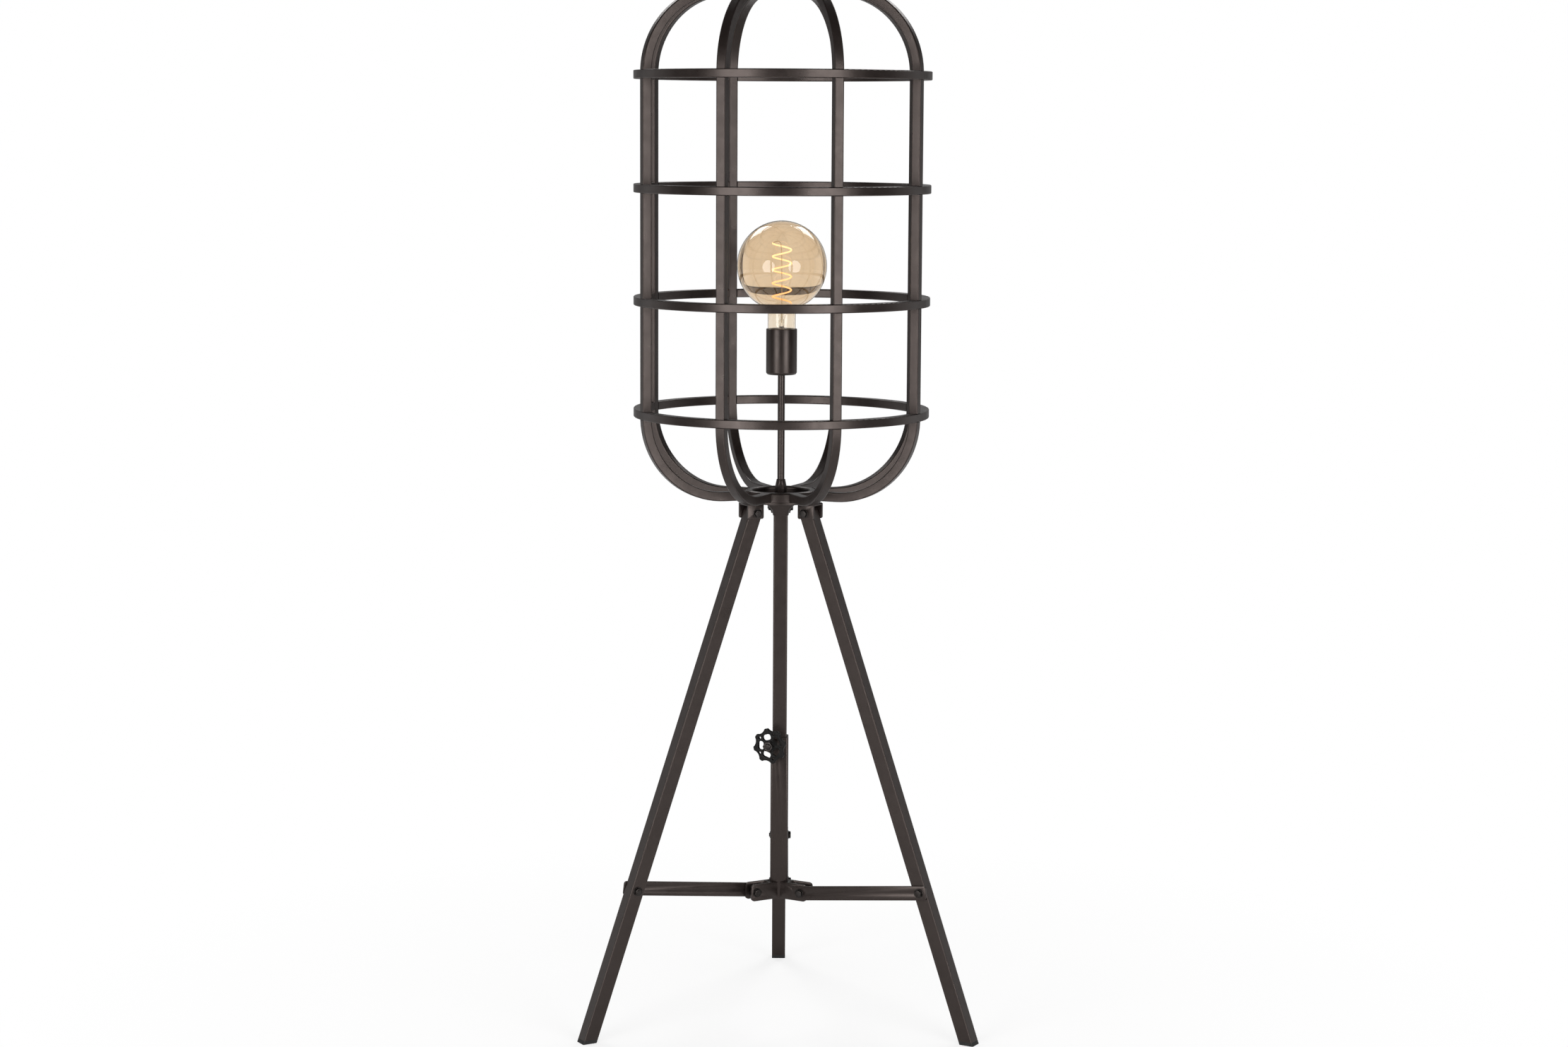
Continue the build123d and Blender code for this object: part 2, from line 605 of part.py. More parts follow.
with BuildPart() as column_collar:
    for upper, lower, drop, depth in (
            (COLLAR_SIDE, COLLAR_WAIST, 0, COLLAR_WAIST_HEIGHT),
            (COLLAR_WAIST, COLLAR_FOOT, COLLAR_WAIST_HEIGHT, COLLAR_HEIGHT)):
        with BuildSketch(level(PLATE_UNDERSIDE - drop)):
            RectangleRounded(upper, upper, COLLAR_EDGE)
        with BuildSketch(level(PLATE_UNDERSIDE - depth)):
            RectangleRounded(lower, lower, COLLAR_EDGE)
        loft()
    with BuildSketch(level(PLATE_UNDERSIDE)):
        RectangleRounded(COLUMN_SIDE, COLUMN_SIDE, COLUMN_EDGE)
    extrude(amount=-COLLAR_HEIGHT, mode=Mode.SUBTRACT)
save(column_collar, "column_collar")

with BuildPart() as column_top_plug:
    with BuildSketch(level(PLATE_UNDERSIDE)):
        Rectangle(COLUMN_SIDE - 2 * COLUMN_WALL, COLUMN_SIDE - 2 * COLUMN_WALL)
        Circle(NIPPLE_DIAMETER / 2 + THREAD_PLAY, mode=Mode.SUBTRACT)
    extrude(amount=-PLUG_LENGTH)
save(column_top_plug, "column_top_plug")

with BuildPart() as column_end_plug:
    with BuildSketch(level(COLUMN_END)):
        Rectangle(COLUMN_SIDE - 2 * COLUMN_WALL, COLUMN_SIDE - 2 * COLUMN_WALL)
    extrude(amount=END_PLUG_LENGTH)
    with BuildSketch(level(COLUMN_END)):
        RectangleRounded(COLUMN_SIDE, COLUMN_SIDE, COLUMN_EDGE)
    extrude(amount=-END_PLUG_FLANGE)
save(column_end_plug, "column_end_plug")

with BuildPart() as sleeve:
    with BuildSketch(level(SLEEVE_BOTTOM)):
        RectangleRounded(SLEEVE_SIDE, SLEEVE_SIDE, SLEEVE_EDGE)
        RectangleRounded(COLUMN_SIDE + 2 * SLEEVE_PLAY, COLUMN_SIDE + 2 * SLEEVE_PLAY,
                         COLUMN_EDGE, mode=Mode.SUBTRACT)
    extrude(amount=SLEEVE_TOP - SLEEVE_BOTTOM)
    with BuildSketch(clamp_view(0)):
        Circle(SCREW_DIAMETER / 2 + RUNNING_PLAY)
    extrude(amount=BOSS_END, mode=Mode.SUBTRACT)
save(sleeve, "sleeve")

with BuildPart() as clamp_boss:
    with BuildSketch(clamp_view(0)):
        Circle(BOSS_DIAMETER / 2)
        Circle(SCREW_DIAMETER / 2 + RUNNING_PLAY, mode=Mode.SUBTRACT)
    extrude(amount=BOSS_END)
    with BuildSketch(level(CLAMP_HEIGHT)):
        RectangleRounded(SLEEVE_SIDE, SLEEVE_SIDE, SLEEVE_EDGE)
    extrude(amount=BOSS_DIAMETER, both=True, mode=Mode.SUBTRACT)
save(clamp_boss, "clamp_boss")

with BuildPart() as clamp_screw:
    with BuildSketch(clamp_view(SCREW_TIP)):
        Circle(SCREW_DIAMETER / 2)
    extrude(amount=SCREW_END - SCREW_TIP)
    fillet(clamp_screw.edges().filter_by(GeomType.CIRCLE), SCREW_EDGE)
save(clamp_screw, "clamp_screw")

with BuildPart() as handwheel:
    with BuildSketch(clamp_view(WHEEL_FACE)):
        Circle(WHEEL_DIAMETER / 2)
        with PolarLocations(WHEEL_DIAMETER / 2 + WHEEL_SCALLOP - WHEEL_SCALLOP_DEPTH, WHEEL_LOBES,
                            start_angle=WHEEL_LOBE_TURN + 180 / WHEEL_LOBES):
            Circle(WHEEL_SCALLOP, mode=Mode.SUBTRACT)
    extrude(amount=-WHEEL_THICKNESS)
    fillet(handwheel.edges(), WHEEL_RIM_EDGE)
    with BuildSketch(clamp_view(WHEEL_FACE + CUT_MARGIN)):
        with PolarLocations(WINDOW_RADIUS, WHEEL_WINDOWS, start_angle=WHEEL_WINDOW_TURN):
            RectangleRounded(WINDOW_WIDTH, WINDOW_LENGTH, WINDOW_CORNER)
        with PolarLocations(WHEEL_HOLE_RADIUS, WHEEL_WINDOWS,
                            start_angle=WHEEL_WINDOW_TURN + 180 / WHEEL_WINDOWS):
            Circle(WHEEL_HOLE_DIAMETER / 2)
    extrude(amount=-WHEEL_THICKNESS - 2 * CUT_MARGIN, mode=Mode.SUBTRACT)
    with BuildSketch(clamp_view(WHEEL_HUB_BACK)):
        Circle(WHEEL_HUB_DIAMETER / 2)
    extrude(amount=WHEEL_HUB_FRONT - WHEEL_HUB_BACK)
    with BuildSketch(clamp_view(WHEEL_HUB_BACK)):
        Circle(SCREW_DIAMETER / 2 + RUNNING_PLAY)
    extrude(amount=WHEEL_HUB_FRONT - WHEEL_HUB_BACK, mode=Mode.SUBTRACT)
save(handwheel, "handwheel")

with BuildPart() as handwheel_nut:
    with BuildSketch(clamp_view(WHEEL_HUB_FRONT)):
        RegularPolygon(WHEEL_NUT_FLATS / 2, 6, major_radius=False)
        Circle(SCREW_DIAMETER / 2 + RUNNING_PLAY, mode=Mode.SUBTRACT)
    extrude(amount=WHEEL_NUT_HEIGHT)
save(handwheel_nut, "handwheel_nut")

# ---------------------------------------------------------------- legs, brackets and stays

def leg_bracket(angle):
    """A folded strap welded under the plate, its two cheeks beside the leg's top."""
    width = BRACKET_OUTER_RADIUS - BRACKET_INNER_RADIUS
    middle = (BRACKET_OUTER_RADIUS + BRACKET_INNER_RADIUS) / 2
    with BuildPart() as bracket:
        with BuildSketch(side_view(angle)):
            with Locations((middle, PLATE_UNDERSIDE - BRACKET_HEIGHT / 2)):
                Rectangle(width, BRACKET_HEIGHT)
        extrude(amount=BRACKET_GAP / 2 + BRACKET_THICKNESS, both=True)
        across = Axis((0, 0, 0), side_view(angle).z_dir)
        low_corners = bracket.edges().filter_by(across).group_by(Axis.Z)[0]
        fillet(low_corners, BRACKET_CORNER)
        with BuildSketch(side_view(angle)):
            with Locations((middle, PLATE_UNDERSIDE - BRACKET_WEB - BRACKET_HEIGHT / 2)):
                Rectangle(width, BRACKET_HEIGHT)
        extrude(amount=BRACKET_GAP / 2, both=True, mode=Mode.SUBTRACT)
        with BuildSketch(leg_view(angle)):
            Circle(BOLT_DIAMETER / 2 + RUNNING_PLAY)
        extrude(amount=LEG_SIDE, both=True, mode=Mode.SUBTRACT)
    return bracket.part


def leg(name, angle):
    """A square tube with a rounded solid top end, cut level above the foot."""
    with BuildPart() as tube:
        with BuildSketch(leg_view(angle)):
            Circle(LEG_SIDE / 2)
            with Locations((LEG_LENGTH / 2 + LEG_SIDE / 2, 0)):
                Rectangle(LEG_LENGTH + LEG_SIDE, LEG_SIDE)
        extrude(amount=LEG_SIDE / 2, both=True)
        along = Axis((0, 0, 0), leg_view(angle).x_dir)
        fillet(tube.edges().filter_by(along), LEG_EDGE)
        with BuildSketch(leg_view(angle)):
            with Locations((LEG_SOLID_END + LEG_LENGTH / 2 + LEG_SIDE / 2, 0)):
                Rectangle(LEG_LENGTH + LEG_SIDE, LEG_SIDE - 2 * LEG_WALL)
        extrude(amount=LEG_SIDE / 2 - LEG_WALL, both=True, mode=Mode.SUBTRACT)
        split(bisect_by=level(FOOT_PAD), keep=Keep.TOP)
        with BuildSketch(leg_view(angle)):
            with Locations((0, 0), (STAY_ON_LEG, 0)):
                Circle(BOLT_DIAMETER / 2 + RUNNING_PLAY)
        extrude(amount=LEG_SIDE, both=True, mode=Mode.SUBTRACT)
    save(tube, name)


def foot(name, angle):
    """A plug in the end of a leg, its pad cut level so that it stands flat."""
    with BuildPart() as plug:
        with BuildSketch(leg_view(angle)):
            with Locations((LEG_LENGTH, 0)):
                Rectangle(2 * LEG_SIDE, LEG_SIDE)
        extrude(amount=LEG_SIDE / 2, both=True)
        along = Axis((0, 0, 0), leg_view(angle).x_dir)
        fillet(plug.edges().filter_by(along), LEG_EDGE)
        split(bisect_by=level(FOOT_PAD), keep=Keep.BOTTOM)
        with BuildSketch(leg_view(angle)):
            with Locations((LEG_LENGTH - FOOT_PAD - FOOT_SPIGOT / 2, 0)):
                Rectangle(FOOT_SPIGOT, LEG_SIDE - 2 * LEG_WALL - 2 * FIT_PLAY)
        extrude(amount=LEG_SIDE / 2 - LEG_WALL - FIT_PLAY, both=True)
        split(bisect_by=level(0), keep=Keep.TOP)
    save(plug, name)


def stay_lug(angle):
    """Two cheeks on a web, coped to the sleeve, that carry the inner bolt of a stay."""
    with BuildPart() as cheeks:
        with BuildSketch(side_view(angle)):
            with Locations((LUG_OUTER_RADIUS / 2, STAY_PIVOT_HEIGHT)):
                Rectangle(LUG_OUTER_RADIUS, LUG_HEIGHT)
        extrude(amount=LEG_SIDE / 2, both=True)
        across = Axis((0, 0, 0), side_view(angle).z_dir)
        outwards = Axis((0, AXIS_Y, 0), side_view(angle).x_dir)
        fillet(cheeks.edges().filter_by(across).group_by(outwards)[-1], LUG_CORNER)
        with BuildSketch(side_view(angle)):
            with Locations((LUG_WEB_RADIUS + LUG_OUTER_RADIUS / 2, STAY_PIVOT_HEIGHT)):
                Rectangle(LUG_OUTER_RADIUS, 2 * LUG_HEIGHT)
        extrude(amount=LUG_GAP / 2, both=True, mode=Mode.SUBTRACT)
        with BuildSketch(level(STAY_PIVOT_HEIGHT)):
            RectangleRounded(SLEEVE_SIDE, SLEEVE_SIDE, SLEEVE_EDGE)
        extrude(amount=LUG_HEIGHT, both=True, mode=Mode.SUBTRACT)
        with BuildSketch(stay_view(angle)):
            Circle(BOLT_DIAMETER / 2 + RUNNING_PLAY)
        extrude(amount=SLEEVE_SIDE, both=True, mode=Mode.SUBTRACT)
    return cheeks.part


def stay(name, angle):
    """A straight flat bar beside its lug on the sleeve and its leg, with a hole near each end."""
    with BuildPart() as bar:
        with BuildSketch(stay_view(angle, STAY_OFFSET)):
            with Locations((STAY_LENGTH / 2, 0)):
                RectangleRounded(STAY_LENGTH + 2 * STAY_OVERHANG, STAY_WIDTH, STAY_CORNER)
            with Locations((0, 0), (STAY_LENGTH, 0)):
                Circle(BOLT_DIAMETER / 2 + RUNNING_PLAY, mode=Mode.SUBTRACT)
        extrude(amount=STAY_THICKNESS / 2, both=True)
    save(bar, name)


def bolts(name, view, angles, near, far, nut_height=NUT_HEIGHT):
    """Hexagon bolts on a hinge, one for each angle: head, shank and a separate nut."""
    with BuildPart() as group:
        for angle in angles:
            with BuildSketch(view(angle, near)):
                RegularPolygon(BOLT_FLATS / 2, 6, major_radius=False)
            extrude(amount=BOLT_HEAD)
            with BuildSketch(view(angle, near)):
                Circle(BOLT_DIAMETER / 2)
            extrude(amount=far - near - nut_height)
            with BuildSketch(view(angle, far)):
                RegularPolygon(BOLT_FLATS / 2, 6, major_radius=False)
                Circle(BOLT_DIAMETER / 2 + THREAD_PLAY, mode=Mode.SUBTRACT)
            extrude(amount=-nut_height)
    save(group, name)


def stay_bolt(name, angle):
    """The stay's half of the bolt at its tip: the head, and the shank inside the stay."""
    with BuildPart() as half:
        with BuildSketch(tip_view(angle, STAY_FACE)):
            RegularPolygon(BOLT_FLATS / 2, 6, major_radius=False)
        extrude(amount=BOLT_HEAD)
        with BuildSketch(tip_view(angle, STAY_FACE)):
            Circle(BOLT_DIAMETER / 2)
        extrude(amount=-STAY_THICKNESS)
    save(half, name)


def stay_nut(name, angle):
    """The leg's half of a stay bolt: its shank through the leg, with the nut on the far side."""
    with BuildPart() as half:
        with BuildSketch(tip_view(angle, LEG_SIDE / 2)):
            Circle(BOLT_DIAMETER / 2)
        extrude(amount=-LEG_SIDE)
        with BuildSketch(tip_view(angle, -LEG_SIDE / 2)):
            RegularPolygon(BOLT_FLATS / 2, 6, major_radius=False)
        extrude(amount=-NUT_HEIGHT)
    save(half, name)


BRACKET_FACE = BRACKET_GAP / 2 + BRACKET_THICKNESS
STAY_FACE = STAY_OFFSET + STAY_THICKNESS / 2

with BuildPart() as leg_brackets:
    for angle in LEG_ANGLES:
        add(leg_bracket(angle))
save(leg_brackets, "leg_brackets")

with BuildPart() as stay_lugs:
    for angle in LEG_ANGLES:
        add(stay_lug(angle))
save(stay_lugs, "stay_lugs")

bolts("leg_hinge_bolts", leg_view, LEG_ANGLES, BRACKET_FACE, -BRACKET_FACE)
bolts("stay_lug_bolts", stay_view, LEG_ANGLES, STAY_FACE, -LEG_SIDE / 2)

for copy, angle in enumerate(LEG_ANGLES, start=1):
    leg(f"leg_{copy}", angle)
    foot(f"foot_{copy}", angle)
    stay(f"stay_{copy}", angle)
    stay_bolt(f"stay_bolt_{copy}", angle)
    stay_nut(f"stay_nut_{copy}", angle)
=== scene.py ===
"""Wire cage floor lamp on a folding tripod: its finishes, finer pieces, camera and studio light.

Sizes are in metres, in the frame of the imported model. The lamp's upright axis stands at AXIS, and
the photographed side faces -Y. Angles about the axis are counted from +X towards +Y.
"""

import json
import logging
from dataclasses import dataclass
from enum import Enum
from math import atan2, cos, pi, radians, sin, sqrt, tau
from random import Random
from typing import Sequence

import bpy
from mathutils import Matrix, Vector

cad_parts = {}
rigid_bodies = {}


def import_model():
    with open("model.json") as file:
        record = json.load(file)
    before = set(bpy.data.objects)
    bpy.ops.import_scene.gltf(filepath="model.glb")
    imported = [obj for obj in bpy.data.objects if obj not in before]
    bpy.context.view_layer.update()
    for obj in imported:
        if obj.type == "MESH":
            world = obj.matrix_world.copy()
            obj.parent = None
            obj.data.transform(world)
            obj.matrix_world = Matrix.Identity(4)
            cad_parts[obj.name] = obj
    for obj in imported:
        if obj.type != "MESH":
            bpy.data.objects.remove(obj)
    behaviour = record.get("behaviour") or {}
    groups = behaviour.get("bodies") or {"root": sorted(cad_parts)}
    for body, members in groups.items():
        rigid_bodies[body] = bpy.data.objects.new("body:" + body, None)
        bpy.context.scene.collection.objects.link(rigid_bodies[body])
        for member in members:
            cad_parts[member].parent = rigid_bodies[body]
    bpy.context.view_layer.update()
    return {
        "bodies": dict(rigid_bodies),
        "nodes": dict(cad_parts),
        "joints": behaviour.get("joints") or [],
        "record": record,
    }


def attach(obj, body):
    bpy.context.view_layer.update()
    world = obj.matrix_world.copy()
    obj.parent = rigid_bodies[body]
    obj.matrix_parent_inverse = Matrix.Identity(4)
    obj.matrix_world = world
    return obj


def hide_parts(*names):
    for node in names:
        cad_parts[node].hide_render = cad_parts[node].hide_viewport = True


LOG = logging.getLogger("cage_lamp")
AXIS = Vector((0.0, -0.0548135, 0.0))
SAME_PLACE = 1e-6
THREAD_SEAM = 1e-5
FLAT_WITHIN = 0.4
UP = Vector((0, 0, 1))
ORIGIN = Vector((0, 0, 0))

Outline = Sequence[tuple[float, float]]


class Slot(Enum):
    """The record's material slots."""

    PAINT = "frame_paint"
    FASTENER = "dark_fastener"
    WHEEL = "handwheel_iron"
    RUBBER = "foot_rubber"
    PLASTIC = "black_plastic"
    LEAD = "lead_insulation"
    CERAMIC = "white_ceramic"
    BRASS = "socket_brass"
    CAP = "cap_metal"
    GLAZE = "black_glaze"
    GLASS = "amber_glass"
    GLOW = "filament_glow"
    MOUNT = "mount_glass"


# --- modelling


class Bench:
    """Short calls for the operators that shape a piece by hand."""

    @staticmethod
    def clear() -> None:
        """Leave edit mode and deselect everything."""
        if bpy.context.object and bpy.context.object.mode != "OBJECT":
            bpy.ops.object.mode_set(mode="OBJECT")
        bpy.ops.object.select_all(action="DESELECT")

    @staticmethod
    def pick(piece: bpy.types.Object) -> None:
        """Make one object the only one selected, and the active one.

        Args:
            piece: The object to pick.
        """
        Bench.clear()
        piece.select_set(True)
        bpy.context.view_layer.objects.active = piece

    @staticmethod
    def edit(piece: bpy.types.Object) -> None:
        """Open an object in edit mode with its whole mesh selected.

        Args:
            piece: The object to open.
        """
        Bench.pick(piece)
        bpy.ops.object.mode_set(mode="EDIT")
        bpy.ops.mesh.select_all(action="SELECT")

    @staticmethod
    def trace(name: str, points: Sequence[Vector]) -> bpy.types.Object:
        """Draw a line of edges by extruding one vertex from point to point.

        Args:
            name: Name of the new object.
            points: Corners of the line, in order.

        Returns:
            The object, left in edit mode with everything selected.
        """
        Bench.clear()
        bpy.ops.mesh.primitive_plane_add(size=0.01, location=(0, 0, 0))
        piece = bpy.context.object
        piece.name = name
        bpy.ops.object.mode_set(mode="EDIT")
        bpy.ops.mesh.merge(type="CENTER")
        bpy.ops.transform.translate(value=points[0])
        for here, there in zip(points, points[1:]):
            bpy.ops.mesh.extrude_region_move(TRANSFORM_OT_translate={"value": there - here})
        bpy.ops.mesh.select_all(action="SELECT")
        return piece

    @staticmethod
    def close_up() -> None:
        """Merge doubles and turn all faces outwards, then leave edit mode."""
        bpy.ops.mesh.select_all(action="SELECT")
        bpy.ops.mesh.remove_doubles(threshold=SAME_PLACE)
        bpy.ops.mesh.normals_make_consistent(inside=False)
        bpy.ops.object.mode_set(mode="OBJECT")

    @staticmethod
    def lathe(name: str, outline: Outline, steps: int = 64, foot: Vector = AXIS) -> bpy.types.Object:
        """Spin an outline about an upright axis.

        Args:
            name: Name of the new object.
            outline: Radius and height of each corner.
            steps: Number of steps round the axis.
            foot: A point on the axis, from which heights are counted.

        Returns:
            The turned object, in object mode.
        """
        points = [foot + Vector((radius, 0, height)) for radius, height in outline]
        piece = Bench.trace(name, points)
        bpy.ops.mesh.spin(steps=steps, angle=tau, center=foot, axis=(0, 0, 1))
        Bench.close_up()
        return piece

    @staticmethod
    def rod(name: str, points: Sequence[Vector], radius: float) -> bpy.types.Object:
        """A round wire that curves along a line of points.

        Args:
            name: Name of the new object.
            points: Corners of its line.
            radius: Half its thickness.

        Returns:
            The wire as a mesh with closed ends.
        """
        Bench.trace(name, points)
        bpy.ops.object.mode_set(mode="OBJECT")
        bpy.ops.object.convert(target="CURVE")
        piece = bpy.context.object
        bpy.ops.object.mode_set(mode="EDIT")
        bpy.ops.curve.select_all(action="SELECT")
        bpy.ops.curve.spline_type_set(type="NURBS")
        bpy.ops.object.mode_set(mode="OBJECT")
        for spline in piece.data.splines:
            spline.order_u = 4
            spline.use_endpoint_u = True
            spline.resolution_u = 6
        piece.data.bevel_depth = radius
        piece.data.bevel_resolution = 3
        piece.data.use_fill_caps = True
        bpy.ops.object.convert(target="MESH")
        piece = bpy.context.object
        Bench.edit(piece)
        Bench.close_up()
        return piece

    @staticmethod
    def drum(name: str, radius: float, low: float, high: float, sides: int) -> bpy.types.Object:
        """A plain cylinder or prism about the Z axis, as a start.

        Args:
            name: Name of the new object.
            radius: Radius over its corners.
            low: Height of its underside.
            high: Height of its top.
            sides: Number of its sides.

        Returns:
            The cylinder, in object mode.
        """
        Bench.clear()
        bpy.ops.mesh.primitive_cylinder_add(vertices=sides, radius=radius, depth=high - low,
                                            location=(0, 0, (low + high) / 2))
        piece = bpy.context.object
        piece.name = name
        Bench.settle(piece)
        return piece

    @staticmethod
    def thread(name: str, radius: float, low: float, high: float, pitch: float, depth: float,
               steps: int = 48, waves: int = 8, solid: bool = False) -> bpy.types.Object:
        """A round thread about the Z axis, trimmed level at both ends.

        Args:
            name: Name of the new object.
            radius: Radius over the crests.
            low: Height of the lower end.
            high: Height of the upper end.
            pitch: Rise of one turn.
            depth: Depth of the thread.
            steps: Steps round the axis.
            waves: Points for each wave of the outline.
            solid: Whether the ends are closed.

        Returns:
            The threaded tube or rod, in object mode.
        """
        count = int((high - low) / pitch) + 3
        lead_in = 1.5
        points = []
        for step in range(count * waves + 1):
            wave = 0.5 + 0.5 * cos(tau * step / waves)
            points.append(Vector((radius - depth * wave, 0, low - pitch * (lead_in - step / waves))))
        piece = Bench.trace(name, points)
        bpy.ops.object.mode_set(mode="OBJECT")
        Bench.modify(piece, "SCREW", axis="Z", angle=tau, screw_offset=pitch, steps=steps,
                     render_steps=steps, use_merge_vertices=True, merge_threshold=THREAD_SEAM)
        Bench.edit(piece)
        bpy.ops.mesh.remove_doubles(threshold=THREAD_SEAM)
        for height, keep_above in ((low, True), (high, False)):
            bpy.ops.mesh.select_all(action="SELECT")
            bpy.ops.mesh.bisect(plane_co=(0, 0, height), plane_no=(0, 0, 1), use_fill=solid,
                                clear_inner=keep_above, clear_outer=not keep_above)
        Bench.close_up()
        return piece

    @staticmethod
    def settle(piece: bpy.types.Object) -> None:
        """Move an object's place into its mesh."""
        Bench.pick(piece)
        bpy.ops.object.transform_apply(location=True, rotation=True, scale=True)

    @staticmethod
    def put(piece: bpy.types.Object, place: Matrix) -> bpy.types.Object:
        """Move a piece to its place, with the place kept in its mesh.

        Args:
            piece: The piece, made about the origin.
            place: Where it goes.

        Returns:
            The same piece.
        """
        piece.matrix_world = place
        Bench.settle(piece)
        return piece

    @staticmethod
    def twin(piece: bpy.types.Object, name: str, place: Matrix) -> bpy.types.Object:
        """Copy a piece with a mesh of its own, and put the copy in its place.

        Args:
            piece: The pattern.
            name: Name of the copy.
            place: Where the copy goes.

        Returns:
            The copy.
        """
        Bench.pick(piece)
        bpy.ops.object.duplicate(linked=False)
        copy = bpy.context.object
        copy.name = name
        return Bench.put(copy, place)

    @staticmethod
    def drop(*pieces: bpy.types.Object) -> None:
        """Delete patterns and cutters that are no longer needed.

        Args:
            pieces: The objects to delete.
        """
        Bench.clear()
        for piece in pieces:
            piece.select_set(True)
        bpy.ops.object.delete()

    @staticmethod
    def join(pieces: Sequence[bpy.types.Object], name: str = "") -> bpy.types.Object:
        """Join pieces into the first of them.

        Args:
            pieces: The objects to join.
            name: A new name for the first, if it gets one.

        Returns:
            The first piece, which now holds them all.
        """
        Bench.pick(pieces[0])
        for piece in pieces:
            piece.select_set(True)
        bpy.ops.object.join()
        pieces[0].name = name or pieces[0].name
        return pieces[0]

    @staticmethod
    def modify(piece: bpy.types.Object, kind: str, **settings: object) -> None:
        """Add a modifier, set it up and apply it.

        Args:
            piece: The piece that it changes.
            kind: The modifier's type.
            settings: Its properties.
        """
        Bench.pick(piece)
        modifier = piece.modifiers.new(kind.lower(), kind)
        for key, value in settings.items():
            setattr(modifier, key, value)
        bpy.ops.object.modifier_apply(modifier=modifier.name)

    @staticmethod
    def soften(piece: bpy.types.Object, width: float, segments: int = 2, above: float = 35.0) -> None:
        """Round the edges that are sharper than an angle in degrees."""
        Bench.modify(piece, "BEVEL", width=width, segments=segments, limit_method="ANGLE",
                     angle_limit=radians(above), use_clamp_overlap=True)

    @staticmethod
    def trim(piece: bpy.types.Object, limit: bpy.types.Object) -> None:
        """Keep what a solid shares with another, and delete the other."""
        Bench.modify(piece, "BOOLEAN", object=limit, operation="INTERSECT", solver="EXACT")
        Bench.drop(limit)

    @staticmethod
    def wall(piece: bpy.types.Object, thickness: float) -> None:
        """Give a skin a wall, grown inwards."""
        Bench.modify(piece, "SOLIDIFY", thickness=thickness, offset=-1.0)

    @staticmethod
    def shade(piece: bpy.types.Object, angle: float) -> None:
        """Smooth the shading, except over edges sharper than an angle in degrees."""
        Bench.pick(piece)
        bpy.ops.object.shade_smooth_by_angle(angle=radians(angle))

    @staticmethod
    def recut(node: bpy.types.Object, name: str, width: float, above: float) -> bpy.types.Object:
        """A copy of a CAD node with its loose triangles merged and its edges rounded.

        Args:
            node: The CAD node's object.
            name: Name of the copy.
            width: Width of the rounding.
            above: Edges sharper than this angle in degrees are rounded.

        Returns:
            The copy, in object mode.
        """
        piece = bpy.data.objects.new(name, node.data.copy())
        bpy.context.scene.collection.objects.link(piece)
        Bench.pick(piece)
        bpy.ops.mesh.customdata_custom_splitnormals_clear()
        Bench.edit(piece)
        bpy.ops.mesh.remove_doubles(threshold=SAME_PLACE)
        bpy.ops.mesh.mark_sharp(clear=True)
        bpy.ops.mesh.dissolve_limited(angle_limit=radians(FLAT_WITHIN))
        bpy.ops.object.mode_set(mode="OBJECT")
        Bench.soften(piece, width, above=above)
        return piece


def outward_frame(angle: float, radius: float, height: float) -> Matrix:
    """A place beside the axis: X outwards, Y up, Z along the clockwise side.

    Args:
        angle: Its direction from the axis, in degrees.
        radius: Its distance from the axis.
        height: Its height above the floor.

    Returns:
        The frame of the place.
    """
    turn = radians(angle)
    out = Vector((cos(turn), sin(turn), 0))
    frame = Matrix((out, UP, out.cross(UP))).transposed().to_4x4()
    return Matrix.Translation(AXIS + out * radius + UP * height) @ frame


def beside_axis(out: float, height: float) -> Vector:
    """A point to the right of the lamp's axis."""
    return AXIS + Vector((out, 0, height))


def raised(outline: Outline, floor: float) -> list[tuple[float, float]]:
    """An outline whose heights are counted from a floor, lifted to that floor."""
    return [(radius, floor + height) for radius, height in outline]


def arc(centre: tuple[float, float], radius: float, start: float, end: float,
        steps: int) -> list[tuple[float, float]]:
    """Points of an arc, its ends included; angles in radians."""
    turns = [start + (end - start) * step / steps for step in range(steps + 1)]
    return [(centre[0] + radius * cos(turn), centre[1] + radius * sin(turn)) for turn in turns]


# --- finishes


